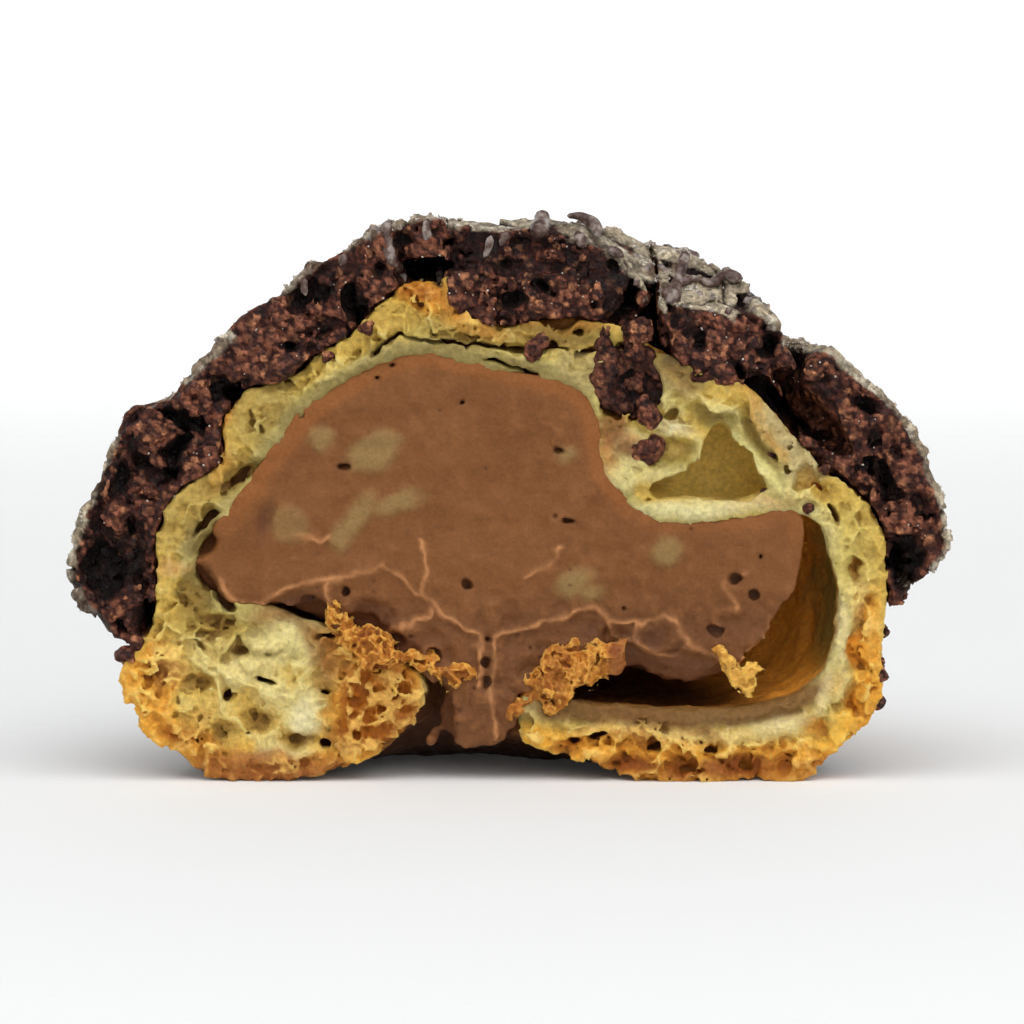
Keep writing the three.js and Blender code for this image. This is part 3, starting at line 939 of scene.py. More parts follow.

# Ovals with a colour laid over them, as (red, green and blue from 0 to 255, strength, ovals). Most give the
# choux its own colours; the ones marked below are painted shade and shadow in recesses and gaps.
CHOUX_PAINT = [
    # painted shade in the recesses of the left wall beside the cream
    ((122, 104, 52), 0.8, [(-30.6, 24.6, 2.4, 1.8, 30), (-31.4, 19.2, 1.8, 2.4),
        (-27.2, 30.8, 2.2, 0.8, 35)]),
    ((226, 206, 138), 0.5, [(-26.4, 11.8, 4, 2.6, 15), (-30.4, 13.6, 2.2, 1.4),
        (-24.4, 8.2, 2.4, 1.2, -40)]),
    ((238, 178, 70), 0.5, [(-36.4, 10, 1.8, 4, -20), (-34.8, 4.6, 1.6, 2, -30)]),
    ((250, 214, 124), 0.7, [(-34.2, 11.6, 1.8, 2.4)]),
    ((146, 124, 74), 0.4, [(-31.4, 29, 3.2, 7, -25), (-25, 38, 3, 4, -35)]),
    # painted shadow in the gap between the cream and the block's top
    ((128, 84, 46), 0.75, [(-22.4, 16.8, 3.2, 0.8, -25), (-18.8, 14.8, 1.4, 0.8, -30)]),
    ((150, 104, 50), 0.75, [(-19.2, 13.6, 1.5, 2.6, 15), (-18.8, 10.4, 1, 1.6),
        (-24.8, 16.6, 1.6, 0.8, -10)]),
    ((154, 92, 28), 0.75, [(-17.4, 12.4, 1.5, 2.6, 20), (-16.8, 4.4, 2.2, 1.6), (-10.8, 6.4, 1.6, 2.6)]),
    # painted shade in the recesses right of the bubble and below the crown
    ((128, 110, 52), 0.8, [(24.4, 34.9, 2.8, 0.8, -56), (20.1, 36.7, 1.9, 0.7, -20),
        (6, 45.6, 4, 1.2, -10)]),
    ((172, 134, 64), 0.8, [(-25.4, 6.2, 1.5, 0.9, -15), (-28.9, 4.8, 1, 0.8), (-21.6, 4.4, 1.2, 0.8)]),
    ((218, 172, 88), 0.7, [(-31.2, 6.2, 1.4, 1.6), (-31.6, 10, 1.5, 1, 10)]),
    ((158, 140, 82), 0.7, [(-23.9, 13.1, 0.8, 0.3), (-25.6, 15, 0.8, 0.35, 15), (-26.6, 13.4, 1, 0.4, 30)]),
    # painted shadow behind and beside the slipped crumb
    ((122, 104, 54), 0.8, [(16.6, 41.8, 3.4, 1.3, -32), (5.6, 44.6, 1.6, 0.7, -10), (13.2, 38.4, 1, 1.6)]),
    ((198, 116, 40), 0.7, [(2, 46.4, 6, 0.5, -6), (-5, 47.4, 2.6, 0.6, -30), (-28.6, 37.8, 0.7, 3.4, -8)]),
    # painted shade in the hollow inside the lip
    ((156, 140, 62), 0.8, [(16.4, 33.1, 2.2, 1.1)]),
    ((196, 128, 62), 0.75, [(9.4, 33.6, 0.8, 2.4, 12), (24.6, 27.9, 2.6, 0.35, 5), (12.2, 34.6, 1.2, 0.5)]),
    ((218, 196, 110), 0.6, [(34.6, 23, 2, 5)]),
    ((168, 148, 94), 0.75, [(7.4, 41.2, 2.8, 2.2, -20)]),
    # crumb stain and painted shade beside the slipped crumb
    ((140, 108, 58), 0.75, [(16.8, 40.4, 2.4, 1.5, -30)]),
    # painted shade below the slipped crumb
    ((132, 84, 42), 0.9, [(10.2, 35.8, 1.7, 2.2, -25), (11.4, 33.6, 1.6, 1, -20)]),
    # painted shadow in the gap between the crust and the choux
    ((52, 34, 20), 0.85, [(16, 43.8, 1.2, 2, 10)]),
    ((222, 214, 160), 0.7, [(18.9, 27.4, 6.4, 0.8, 2)]),
    ((190, 176, 132), 0.75, [(28.2, 35, 4.6, 1.9, -50), (29.4, 31.8, 2.4, 1.8, -40)]),
    ((184, 128, 44), 0.8, [(23.6, 39.4, 1.4, 0.6, -30), (24.8, 37.4, 1.8, 0.5, -76),
        (26.2, 34.6, 1.6, 0.45, -60)]),
    ((164, 88, 10), 0.9, [(-13.2, 7.8, 4.2, 4.6), (-33.6, 4.8, 1.8, 0.9, -20), (-9.2, 49.4, 2.6, 1)]),
    ((176, 104, 26), 0.8, [(11.6, 1.8, 1.3, 0.7, 10), (17.4, 1.6, 1.1, 0.8), (23.6, 1.4, 1.4, 0.7, -5),
        (5.6, 3.4, 1.1, 0.8, -20), (27.6, 1.8, 0.8, 0.7), (31, 2, 0.8, 0.6)]),
    ((236, 206, 130), 0.7, [(17.6, 5, 9, 1, -1), (29.6, 8, 2.6, 1, 45), (35, 18.6, 0.8, 3)]),
    ((196, 134, 84), 0.7, [(12.6, 6.6, 4.2, 0.35, -6), (18.2, 5.6, 2, 0.3, -20)]),
    ((150, 112, 58), 0.5, [(0, 45, 7, 1.2, -8)]),
    ((230, 218, 170), 0.8, [(16.7, 35.6, 1.5, 0.9), (-20.4, 6.6, 1.4, 2)]),
    ((166, 102, 54), 0.85, [(-24, 1.2, 7.4, 1.8, -4)]),
    ((160, 78, 30), 0.7, [(-25.4, 3, 4.6, 0.35, -3), (-19.8, 2.4, 2, 0.3, 5)]),
    ((204, 144, 92), 0.7, [(-33.8, 21.8, 1.6, 0.35)]),
]
# The same for glassy cells and walls, whose colour hides the shade of their depth.
CELL_PAINT = [
    ((230, 220, 146), 0.8, [(24.6, 32.3, 3.2, 0.55, -44)]),
    ((236, 150, 36), 0.8, [(34.9, 13.3, 1, 1.9), (34.7, 8, 0.55, 0.75)]),
    ((226, 168, 66), 0.75, [(30.7, 5.6, 1.5, 0.9, 10)]),
    ((218, 182, 104), 0.7, [(32.8, 9.9, 0.9, 1.3, -10)]),
    ((228, 206, 150), 0.6, [(27.6, 5.8, 2.8, 0.8, 8), (31.5, 9, 0.5, 2, -15), (33.2, 15.6, 0.5, 3.2, 3)]),
    ((134, 66, 20), 0.75, [(22.4, 1.3, 3.6, 1), (12.4, 1.5, 2.4, 0.8), (17.4, 1, 1.6, 0.6)]),
]


coarse_cells = Cells((2.9, 2.6, 2.3), 31)
middle_cells = Cells((1.5, 1.3, 1.2), 32)
fine_cells = Cells(0.7, 33)
webs = Noise((3.4, 2.4, 2.2), 34, octaves=2)
fine_webs = Noise(1.3, 36, octaves=2)
patches = Noise(5, 35)


EDGE_DEPTH = 4.5  # how far behind the cut the choux's edges are measured


def edge_distance(p):
    """Distance to the edge of the cut choux, measured in a plane just behind the cut, up to about 4 mm."""
    return -choux_solid(moved_to(p, CUT_Y + EDGE_DEPTH))


def faces_heart(p):
    """1 where the choux's nearest edge is the one around cream and pocket, 0 where it is the outer one."""
    flat = moved_to(p, CUT_Y + EDGE_DEPTH)
    inwards = unit(moved_to(HEART - flat, 0), 1e-6)
    return smoothstep(-0.5, 0.5, choux_solid(flat + inwards) - choux_solid(flat - inwards))


def crumbly_part(p):
    """1 in the golden, crumbly places of the cut face and along the choux's underside, and 0 elsewhere."""
    q = bent(p, 0.9)
    return np.maximum(inside(q, CRUMBLY, 0.9), 1 - smoothstep(0.8, 2.4, q[:, 2]))


COARSE_CELL, MIDDLE_CELL = 1.2, 0.85  # depths
WEB, FINE_WEB = 0.45, 0.2  # heights
STRAND_HEIGHT, STRAND_WIDTH = 0.6, 0.45
HOLLOW_DEPTH = 1.2
HOLE_DEPTH = 2.4
HALF_CRACK = 0.24  # half the width of a crack
CUT_REACH = 3.4  # how far behind the cut its relief fades out


def torn_height(p, crumbly, smooth):
    """Relief of the torn choux: cells between thin walls, with webs that stand out."""
    q = bent(p, 0.7)
    rough = 1 - 0.9 * smooth
    coarse = bowls(q, coarse_cells)[0] * smoothstep(-0.35, 0.2, patches(p)) * (1 - 0.6 * crumbly)
    middle = bowls(q, middle_cells)[0] * (0.55 - 0.1 * crumbly)
    fine = bowls(frayed(p, 0.15), fine_cells)[0] * (0.2 + 0.15 * crumbly)
    web = WEB * crease(webs, q, 0.22) + FINE_WEB * crease(fine_webs, q, 0.25)
    torn = 0.6 * crease(webs, q, 0.9) + 0.8 * crease(fine_webs, p, 0.8) + 0.25 * ripple(p) - 0.6
    cells = COARSE_CELL * coarse + MIDDLE_CELL * middle + fine
    return 0.3 + 0.35 * wobble(p) - rough * cells + web + torn * crumbly


def cut_height(p):
    """The choux's relief at the cut, without its holes."""
    q = frayed(bent(p, 0.5), 0.3)
    crumbly = crumbly_part(p)
    smooth = np.maximum(inside(q, SMOOTH, 0.5), 0.85 * lining_part(p))
    height = torn_height(p, crumbly, smooth * (1 - crumbly))
    strand = np.exp(-((nearest_route(q, STRANDS) / STRAND_WIDTH) ** 2))
    height += 0.14 * ripple(p) + 0.2 * smooth * (1 - crumbly) + STRAND_HEIGHT * strand
    height -= HOLLOW_DEPTH * inside(q, HOLLOWS, 0.6)
    near_edge = 1 - smoothstep(0.2, 1.5, edge_distance(p))
    return height * (1 - 0.6 * near_edge)


def lining_part(p):
    """1 on the smooth film that lines the choux's hollow, and 0 elsewhere."""
    edge = edge_distance(p) + 0.5 * wobble(p)
    return (1 - smoothstep(1.2, 2.4, edge)) * faces_heart(p)


def cut_holes(p):
    """How far a place is inside a hole or crack of the cut face, and below zero outside them."""
    q = frayed(bent(p, 0.5), 0.3)
    hole = np.maximum(-nearest_oval(q, DARK_HOLES), HALF_CRACK - nearest_route(q, CRACKS))
    return np.minimum(hole, HOLE_DEPTH - behind_cut(p))


# Where the choux's outline stands out or lies back, as (x, height, radius, push).
CHOUX_BULGES = [
    (36.4, 1.6, 3.4, -2.2), (-33.6, 1.6, 2.4, -1.5), (-36.2, 5, 2, 0.4), (33, 0.8, 2.4, -0.8),
    (-38.2, 6.6, 1.6, -0.8), (-9.2, 3.4, 2.8, -2.2), (-20, 17.4, 2.8, -1.7), (-22.6, 41.4, 2.4, -1.2),
    (30.4, 26.2, 2, -0.8),
]


def choux_detail(p, d):
    depth = behind_cut(p)
    d = d - bulge(p, CHOUX_BULGES)
    at_cut = 1 - smoothstep(1.6, CUT_REACH, depth)
    height = only_where(depth < CUT_REACH, cut_height, p)
    holes = only_where(depth < CUT_REACH, cut_holes, p) - (depth >= CUT_REACH)
    baked = smoothstep(-1.5, -0.3, d) * (0.3 * swell(p) + 0.3 * wobble(p) + 0.12 * ripple(p))
    return np.maximum(smooth_max(d - height * at_cut - baked * (1 - at_cut), holes, 0.12), -p[:, 2])


def choux_tint(p):
    d, height, holes = choux_solid(p), cut_height(p), cut_holes(p)
    depth = behind_cut(p)
    face = 1 - smoothstep(0.6, 2.6, depth)
    # painted shade under the arch, on the underside behind the cut
    arch_shade = smoothstep(2.0, 5.0, depth) * smoothstep(0.16 * HEIGHT, 0.08 * HEIGHT, p[:, 2])
    crumbly = crumbly_part(p)
    edge = edge_distance(p)
    inner = faces_heart(p)
    smooth = inside(bent(p, 0.5), SMOOTH, 0.6)
    low = 1 - smoothstep(6, 17, p[:, 2] + 2 * wobble(p))
    margin = (1 - smoothstep(1.0, 5.5, edge + 1.2 * wobble(p))) * (1 - inner) * np.maximum(low, 0.25)
    lining = lining_part(p)
    floor = lining * smoothstep(12, 9, p[:, 2]) * smoothstep(0, 4, p[:, 0])
    pocket = smoothstep(0.1, 0.5, p[:, 0] / HALF_WIDTH)
    far_wall = smoothstep(0.66, 0.74, p[:, 0] / HALF_WIDTH + 0.02 * wobble(p)) * smoothstep(8, 13, p[:, 2])
    # painted shade at the bottom of the pocket
    deep_floor_shade = smoothstep(12, 7, p[:, 2]) * smoothstep(0.72, 0.4, p[:, 0] / HALF_WIDTH)
    upper_lining = lining * smoothstep(28, 38, p[:, 2]) * smoothstep(8, 2, p[:, 0])
    below = smoothstep(0.25, -1.3, height)
    top = smoothstep(0.0, 0.8, height)
    in_void = inside(p, VOID, 1.0) * smoothstep(0.6, 1.6, depth)
    q = bent(p, 0.6)
    painted = [(strength * inside(q, ovals, 0.7), colour) for colour, strength, ovals in CHOUX_PAINT]
    cells = [(strength * inside(q, ovals, 0.4), colour) for colour, strength, ovals in CELL_PAINT]
    # The choux's colours, with painted highlights on raised places and painted shade in low places, holes,
    # the hollow and under the arch.
    colour = blend_colours(
        (198, 174, 90),
        (0.5 * smoothstep(-0.1, 0.7, patches(p + 9)), (180, 154, 78)),
        (low * 0.6, (230, 194, 104)),
        (margin, (252, 194, 72)),
        (0.75 * lining, (174, 160, 96)),
        (0.8 * smooth * (1 - crumbly), (216, 202, 138)),
        (0.9 * crumbly, (230, 162, 52)),
        # painted highlight on raised places
        (0.6 * top * (1 - 0.6 * crumbly), (230, 214, 146)),
        *painted,
        (0.9 * floor, (114, 72, 28)),
        (0.75 * upper_lining, (136, 118, 66)),
        (0.55 * smoothstep(2.8, 1.4, p[:, 2] + 0.6 * wobble(p)), (152, 86, 28)),
        # painted highlight on raised crumbly places
        (0.7 * top * crumbly, (248, 200, 104)),
        # painted shade in low places and deep cells
        (below * (1 - crumbly) * 0.8, (158, 122, 50)),
        (below * crumbly * 0.9, (152, 80, 16)),
        (smoothstep(-0.8, -1.8, height) * 0.6, (104, 66, 20)),
        *cells,
        # painted shade in holes and cracks
        (smoothstep(-0.1, 0.25, holes) * smoothstep(0.3, 1.5, depth), (104, 64, 26)),
        # painted shade: darker further behind the cut, in the hollow
        (1 - face, (96, 56, 18)),
        ((1 - face) * pocket, (255, 164, 58)),
        ((1 - face) * far_wall, (134, 108, 46)),
        # painted shade, darkest at the pocket's deep floor
        ((1 - face) * deep_floor_shade, (84, 44, 14)),
        (in_void, (240, 212, 122)),
    )
    outside = smoothstep(-1.4, -0.1, d) * smoothstep(1.0, 3.0, depth)
    outside *= (1 - inner) * (1 - inside(p, VOID, 1.0))
    baked = blend_colours(
        (168, 104, 40),
        (smoothstep(-0.3, 0.8, swell(p)), (190, 126, 52)),
        (smoothstep(0.2, 0.9, wobble(p)) * 0.6, (212, 150, 72)),
        (smoothstep(0.2, 0.9, wobble(p + 31)) * 0.6, (128, 70, 26)),
    )
    colour = colour + (baked - colour) * outside[:, None]
    # painted shade under the arch
    return colour + (np.array(srgb(70, 38, 16)) - colour) * arch_shade[:, None]


def choux_start(p):
    """The choux's solid and a smooth bead of it that clings to the crown."""
    return np.minimum(choux_solid(p), routes_field(p, BEAD, 0.9, 1))


# ---- cream ----

# Thin films of choux that show in the cream as raised lines, through places on the cut face.
FILM_LINES = [
    [(-31.8, 21.6), (-28.6, 20.3), (-27.4, 18), (-25, 18.1), (-22.5, 19.3), (-20.5, 20.1), (-18.3, 20.1),
     (-16, 20.8), (-12.5, 21.6), (-10, 19.6), (-7.8, 18.1), (-6.4, 16.6), (-4.4, 15.4), (-3, 14.8)],
    [(-18.3, 20.1), (-18.4, 18.8), (-18, 17.1), (-17, 15.8)],
    [(-9, 24.4), (-8.3, 21), (-8.5, 18.4)],
    [(-12.4, 14.8), (-10.4, 15.8), (-8, 17.2)],
    [(-3, 14.8), (-2.9, 12), (-3.2, 9.6)],
    [(-32, 21.7), (-29.4, 20.5), (-28.2, 19.2), (-27.6, 17.4), (-26.6, 17), (-24.8, 17.9)],
    [(-21.4, 24.7), (-19.4, 24.3), (-18.2, 24.6)],
    [(-1.6, 14.6), (-1.5, 12), (-1.9, 9.4), (-1.5, 6.4), (-1.6, 4.4)],
    [(-1.6, 14.6), (1.4, 15.6), (4.6, 16.8), (8.4, 17.4), (9.7, 16.2), (13.3, 16.2), (15.3, 16.6),
     (17, 15.6), (18, 13.8), (20.7, 12.3), (22.3, 11.1)],
    [(9.7, 16.2), (10.1, 14.6), (12.4, 13.9), (14.7, 13), (16.6, 12.7), (18, 13.8)],
    [(12.7, 16.2), (12.4, 13.9)],
    [(1.6, 20.6), (4, 21.6), (5.2, 23.6)],
    [(22.6, 17.4), (21.4, 20), (23.6, 21)],
    [(22.8, 11.4), (24.6, 13.6), (26, 15.2)],
]
# Ovals that are pale bits of crisp in the cream.
PALE_BITS = [
    (-13.5, 33.2, 2.7, 1.7, 28), (-18.8, 34.6, 1.1, 1), (-15.4, 26.4, 1.1, 3, -30),
    (-11.4, 28, 2.6, 0.9, 15), (-22, 26, 1.7, 2, 20), (5.7, 33.1, 0.75, 0.7), (6.6, 20.2, 2, 1.2, 25),
    (15.7, 23.2, 1.5, 1.4), (-16.9, 24.6, 1, 1.2), (8.2, 19, 1.1, 0.8),
]
LUMP = [(-21.8, 25.8, 2.2, 2.2)]  # the brownest of them, a smear of cream folded over itself
# Ovals that are small pits, and wider, shallow dips, both painted darker as shade.
SMALL_PITS = [
    (-4.2, 19.7, 0.48, 0.42), (5.9, 26.4, 0.62, 0.3), (-16.5, 31.9, 0.55, 0.45), (-11.9, 41.9, 0.3, 0.22),
    (-13.1, 40.6, 0.3, 0.22), (-4.8, 38.2, 0.3, 0.26), (-20.8, 37.2, 0.32, 0.26), (5, 33.5, 0.4, 0.3),
    (22.6, 20.4, 0.7, 0.5, 10), (24.4, 18.9, 0.62, 0.62), (20.6, 15.2, 0.8, 0.65), (25, 22.4, 0.22, 0.4),
    (11.2, 17.7, 0.22, 0.22), (-2.5, 12, 0.5, 0.6), (-2.3, 10, 0.45, 0.7), (-2.4, 14.3, 0.3, 0.25),
    (-7.6, 12.8, 0.7, 0.8), (-16.5, 19.4, 0.5, 0.45), (17.6, 26.3, 0.9, 0.35), (20.7, 26.5, 0.6, 0.35),
    (22.7, 26.6, 0.5, 0.2), (-20.2, 18.3, 0.7, 0.4, 20),
]
DIPS = [
    (-21.4, 17.2, 3, 1.6, 10), (-13.6, 16.6, 2.4, 1.6, -30), (12, 14.6, 1, 0.8), (14.6, 14.4, 1.6, 1, -15),
    (8.4, 15, 1.2, 0.7), (16.8, 13.4, 0.6, 0.4), (-10.2, 13.2, 1.4, 1.6), (-24.4, 26.2, 0.6, 1.4, -15),
]
# Deep hollows in the cream beside the choux, painted dark as shade.
SUNKEN = [
    (-30.6, 19.6, 1.3, 2.2, 25), (-31, 24.2, 1.4, 1.3), (-6.8, 6.2, 1, 2.8, 5), (-20.2, 16.6, 1.9, 1.2, 15),
    (-14.8, 15.4, 1.9, 1.4, -20), (-11.8, 14, 1, 0.8),
]
# Lower edge of the cream's cut face beside the pocket, as (x, height). Below it the cream curves away behind.
LOWER_LIP = [(9.4, 17), (10.1, 14.6), (14.7, 13), (17, 13.4), (20.7, 12.2), (22.6, 10.8)]
TONGUE = [[(-5.4, 5.4, 1.3), (-7.9, 3.7, 0.6)]]  # a smear beside the drop, as (x, height, radius)
FILM_HEIGHT, FILM_WIDTH = 0.4, 0.26
PALE_BIT_HEIGHT = 0.25
DIP_DEPTH, SUNKEN_DEPTH = 0.5, 2.2
LIP_DEPTH = 2  # how far back the cream goes below its lower lip
CREAM_SPREAD = 0.55  # how far the cream reaches past its CAD solid, sideways, to close the gap around it

smear = Noise((8, 3, 1.2), 42, octaves=2)
swirl = Noise(9, 43, octaves=2)
dents = Noise(1.6, 45, octaves=2)
specks = Cells(2.6, 41)
small_specks = Cells(1.3, 44)


def cream_start(p):
    """The cream's solid, spread sideways but not past the cut."""
    tongue = routes_field(bent(p, 0.3), TONGUE, 1.6, 0.8)
    return np.maximum(np.minimum(cream_solid(p) - CREAM_SPREAD, tongue), CUT_Y - SLACK - p[:, 1])


def under_lip(p):
    """How far a place lies below the cream's lower lip, up to 3 mm, and 0 above it or beside it."""
    drop = height_of(LOWER_LIP, p) - p[:, 2]
    return np.clip(drop, 0, 3) * smoothstep(9.4, 10.6, p[:, 0]) * smoothstep(24.0, 22.4, p[:, 0])


def film_height(p):
    """Raised lines of choux film, from 0 to 1, that fade in and out along their way."""
    line = nearest_route(frayed(bent(p, 0.4), 0.2), FILM_LINES)
    return np.exp(-((line / FILM_WIDTH) ** 2)) * (0.75 + 0.4 * np.clip(1.5 * wobble(p + 3), -0.8, 0.6))


def speck_depth(p):
    """How far a place is inside one of the cream's fine pores, and below zero outside them."""
    distance, _, number = specks(p)
    large = np.where(number < 0.10, 0.12 + 1.6 * number - distance, -1)
    distance, _, number = small_specks(p)
    where = 0.05 + 0.22 * smoothstep(22, 12, p[:, 2])
    return np.maximum(large, np.where(number < where, 0.14 + 0.5 * number - distance, -1))


def cream_detail(p, d):
    depth = behind_cut(p)
    at_cut = 1 - smoothstep(1.0, 2.2, depth)
    film = film_height(p)
    q = frayed(bent(p, 0.3), 0.2)
    pit = np.minimum(-nearest_oval(q, SMALL_PITS), 1.0 - depth)
    pit = np.maximum(pit, np.minimum(speck_depth(p), 0.5 - depth))
    low = smoothstep(21, 15, p[:, 2] + wobble(p))
    relief = 0.3 * swirl(p) + 0.09 * smear(p) + 0.05 * ripple(p) + 0.12 * dents(p)
    relief += low * (0.35 * dents(p) + 0.12 * ripple(p) - 0.3)
    raised = FILM_HEIGHT * film + PALE_BIT_HEIGHT * inside(q, PALE_BITS, 0.3)
    relief += at_cut * (raised - DIP_DEPTH * inside(q, DIPS, 0.7))
    relief += at_cut * inside(q, SUNKEN, 0.6) * (0.9 * granules(p, grains)[0] - SUNKEN_DEPTH)
    relief -= at_cut * np.minimum(1.4 * np.sqrt(under_lip(p)), LIP_DEPTH)
    return smooth_max(d - relief, pit * at_cut - 0.3 * (1 - at_cut), 0.15)


def cream_tint(p):
    q = frayed(bent(p, 0.3), 0.2)
    low = smoothstep(21, 15, p[:, 2] + wobble(p))
    depth = behind_cut(p)
    side = smoothstep(0.8, 2.5, depth)
    upper_rim = smoothstep(-1.6, -0.3, cream_solid(p + (0, 3, 0)) + 0.3 * wobble(p))
    upper_rim *= smoothstep(20, 30, p[:, 2])
    return blend_colours(
        (126, 80, 44),
        (smoothstep(-0.5, 0.9, swirl(p) + 0.4 * smear(p)), (118, 74, 40)),
        (low * 0.6, (106, 68, 42)),
        (0.5 * smoothstep(0.1, 0.7, ripple(p)) + 0.3 * smoothstep(0.1, 0.8, dents(p)), (138, 90, 52)),
        (0.5 * smoothstep(0.1, 0.8, ripple(p + 13)), (114, 72, 40)),
        (0.6 * upper_rim, (150, 92, 46)),
        (0.8 * inside(q, PALE_BITS, 0.6) * (1 - 0.4 * inside(q, LUMP, 0.8)), (146, 118, 72)),
        (0.85 * film_height(p), (192, 134, 86)),
        # painted shade: darker in the dips and the sunken hollows
        (0.6 * inside(q, DIPS, 0.7), (84, 50, 34)),
        (0.9 * inside(q, SUNKEN, 0.6), (70, 38, 22)),
        # painted shade below the lower lip
        (0.6 * smoothstep(0, 1.2, under_lip(p)), (96, 62, 44)),
        (0.6 * side, (112, 68, 38)),
        # painted shade in the pits and pores
        (smoothstep(-0.25, 0.3, -nearest_oval(q, SMALL_PITS)) * 0.9, (66, 37, 24)),
        (0.7 * smoothstep(-0.1, 0.1, speck_depth(p)), (74, 42, 27)),
    )


# ---- loose and thin pieces ----

# Torn bits of golden choux that stand on the cream, as routes of (x, height, radius) on the cut face.
TORN_ROUTES = [
    [(-17.6, 17.4, 0.7), (-15.9, 14.8, 1.1), (-13.8, 12.8, 1.4), (-11.4, 12.2, 0.9)],
    [(-10.9, 12.6, 0.6), (-8.6, 12, 0.9), (-7, 10.8, 0.7), (-4.6, 10.6, 0.6)],
    [(1.4, 7.6, 0.8), (3.4, 9.6, 1.35), (6, 12, 1.35), (8.4, 13.6, 1), (10.4, 13, 0.6)],
    [(3.6, 8.4, 0.7), (6.2, 9.8, 0.8), (8.8, 12, 0.7), (10.6, 13.4, 0.5)],
    [(20.8, 13, 0.3), (22, 12, 0.55), (23.3, 10.9, 0.95)],
]
# Crumbs of cookie on the cut face and on the choux, as (x, height, depth behind the cut, radius).
CRUMBS = [
    (13.4, 33.3, 0.2, 1.1), (14.4, 33.8, 0.2, 0.8), (13.9, 36.9, -0.6, 0.9), (13.7, 38, -0.6, 0.8),
    (2.2, 43.2, 0.2, 0.8), (3, 44.2, 0.3, 0.5), (25.4, 29.2, 0.4, 0.6), (26.3, 32.8, 0.8, 0.45),
    (37.4, 15.2, 1, 0.6), (37.3, 12, 1.2, 0.45), (37.2, 10.6, 0.8, 0.5), (36.9, 7.9, 1.2, 0.5),
    (12.6, 45.6, -0.2, 1.5), (12.2, 43.2, -0.2, 1), (-38.6, 12.6, 0.6, 0.8), (-37.4, 14, 0.4, 0.6),
    (31.6, 31.4, 0.2, 0.45), (29.8, 27.6, 0, 0.35), (-14.4, 45.6, 0.2, 0.5), (-18.2, 42.6, 0.1, 0.4),
]


THIN_BAND = 1.6  # how deep the relief of small pieces may reach
TORN_ROOM, CRUMB_ROOM = 1.6, 1.8  # around the torn bits and the crumbs


def torn_choux_piece(material):
    """Golden, crumbly shreds of choux that were pulled over the cream by the knife."""

    def cells_of(p):
        return 0.8 * bowls(frayed(bent(p, 0.5), 0.4), middle_cells)[0] + 0.45 * bowls(p, fine_cells)[0]

    def start(p):
        return routes_field(bent(p, 0.9), TORN_ROUTES, 0.1, 0.9) + 0.3 * wobble(p + 41)

    def detail(p, d):
        return d + 0.5 * np.minimum(wobble(p), 0.5) + cells_of(p) + 0.3 * ripple(p) - 0.6

    def tint(p):
        cells = cells_of(p)
        return blend_colours(
            (192, 122, 42),
            # painted highlight on the raised walls between cells
            (smoothstep(0.4, 0.1, cells), (228, 166, 76)),
            # painted shade down in the cells
            (smoothstep(0.5, 1.0, cells), (128, 64, 18)),
            (0.6 * smoothstep(0.0, 0.8, wobble(p)), (150, 84, 30)),
            (0.7 * smoothstep(9.2, 10.6, p[:, 0]) * smoothstep(14, 11, p[:, 0]), (150, 88, 52)),
            (0.6 * smoothstep(20, 22, p[:, 0]), (250, 200, 96)),
        )

    box = box_of_routes(TORN_ROUTES, TORN_ROOM)
    options = {"growth": 0, "loose": True, "band": THIN_BAND}
    return sculpted_piece("torn_choux", material, "choux", [], start, detail, box, tint, **options)


def crumbs_piece(material):
    """Crumbs of cookie that lie on the cut face and cling to the choux."""
    middles = np.array([(x, CUT_Y + depth, z) for x, z, depth, _ in CRUMBS])

    def start(p):
        away = [np.linalg.norm(p - middle, axis=1) for middle in middles.astype(np.float32)]
        return np.minimum.reduce([distance - radius for distance, (*_, radius) in zip(away, CRUMBS)])

    def detail(p, d):
        return d - 0.8 * (crumb_height(p, np.zeros(len(p))) + 0.3)

    def tint(p):
        return crumb_colours(p, np.zeros(len(p)))

    box = box_of(middles, CRUMB_ROOM)
    options = {"growth": 0, "loose": True, "band": THIN_BAND}
    return sculpted_piece("crumbs", material, "cookie_crust", [], start, detail, box, tint, **options)


def rows_of(x, y, z):
    """One place in each row, for all the places of arrays that are broadcast together."""
    return np.stack(np.broadcast_arrays(x, y, z), -1).reshape(-1, 3).astype(np.float32)


def top_of_crust(x, y):
    """Height of the crust's baked outside above each place of the plan."""
    heights = np.arange(HEIGHT + 2, 10, -0.25)
    field = whole_crust(rows_of(x[:, None], y[:, None], heights)).reshape(len(x), -1)
    return heights[np.argmax(field < 0, axis=1)]


def smooth_route(places, step):
    """Places at even steps along a smooth curve through the given ones."""
    places = np.array(places, float)
    ends = [2 * places[0] - places[1], *places, 2 * places[-1] - places[-2]]
    points = []
    for a, b, c, d in zip(ends, ends[1:], ends[2:], ends[3:]):
        count = max(2, int(np.linalg.norm(c - b) / step))
        for t in np.linspace(0, 1, count, endpoint=False):
            bend, twist = 2 * a - 5 * b + 4 * c - d, 3 * b - a - 3 * c + d
            points.append(0.5 * (2 * b + (c - a) * t + bend * t**2 + twist * t**3))
    return np.array([*points, places[-1]])


ROPE_SIDES = 10


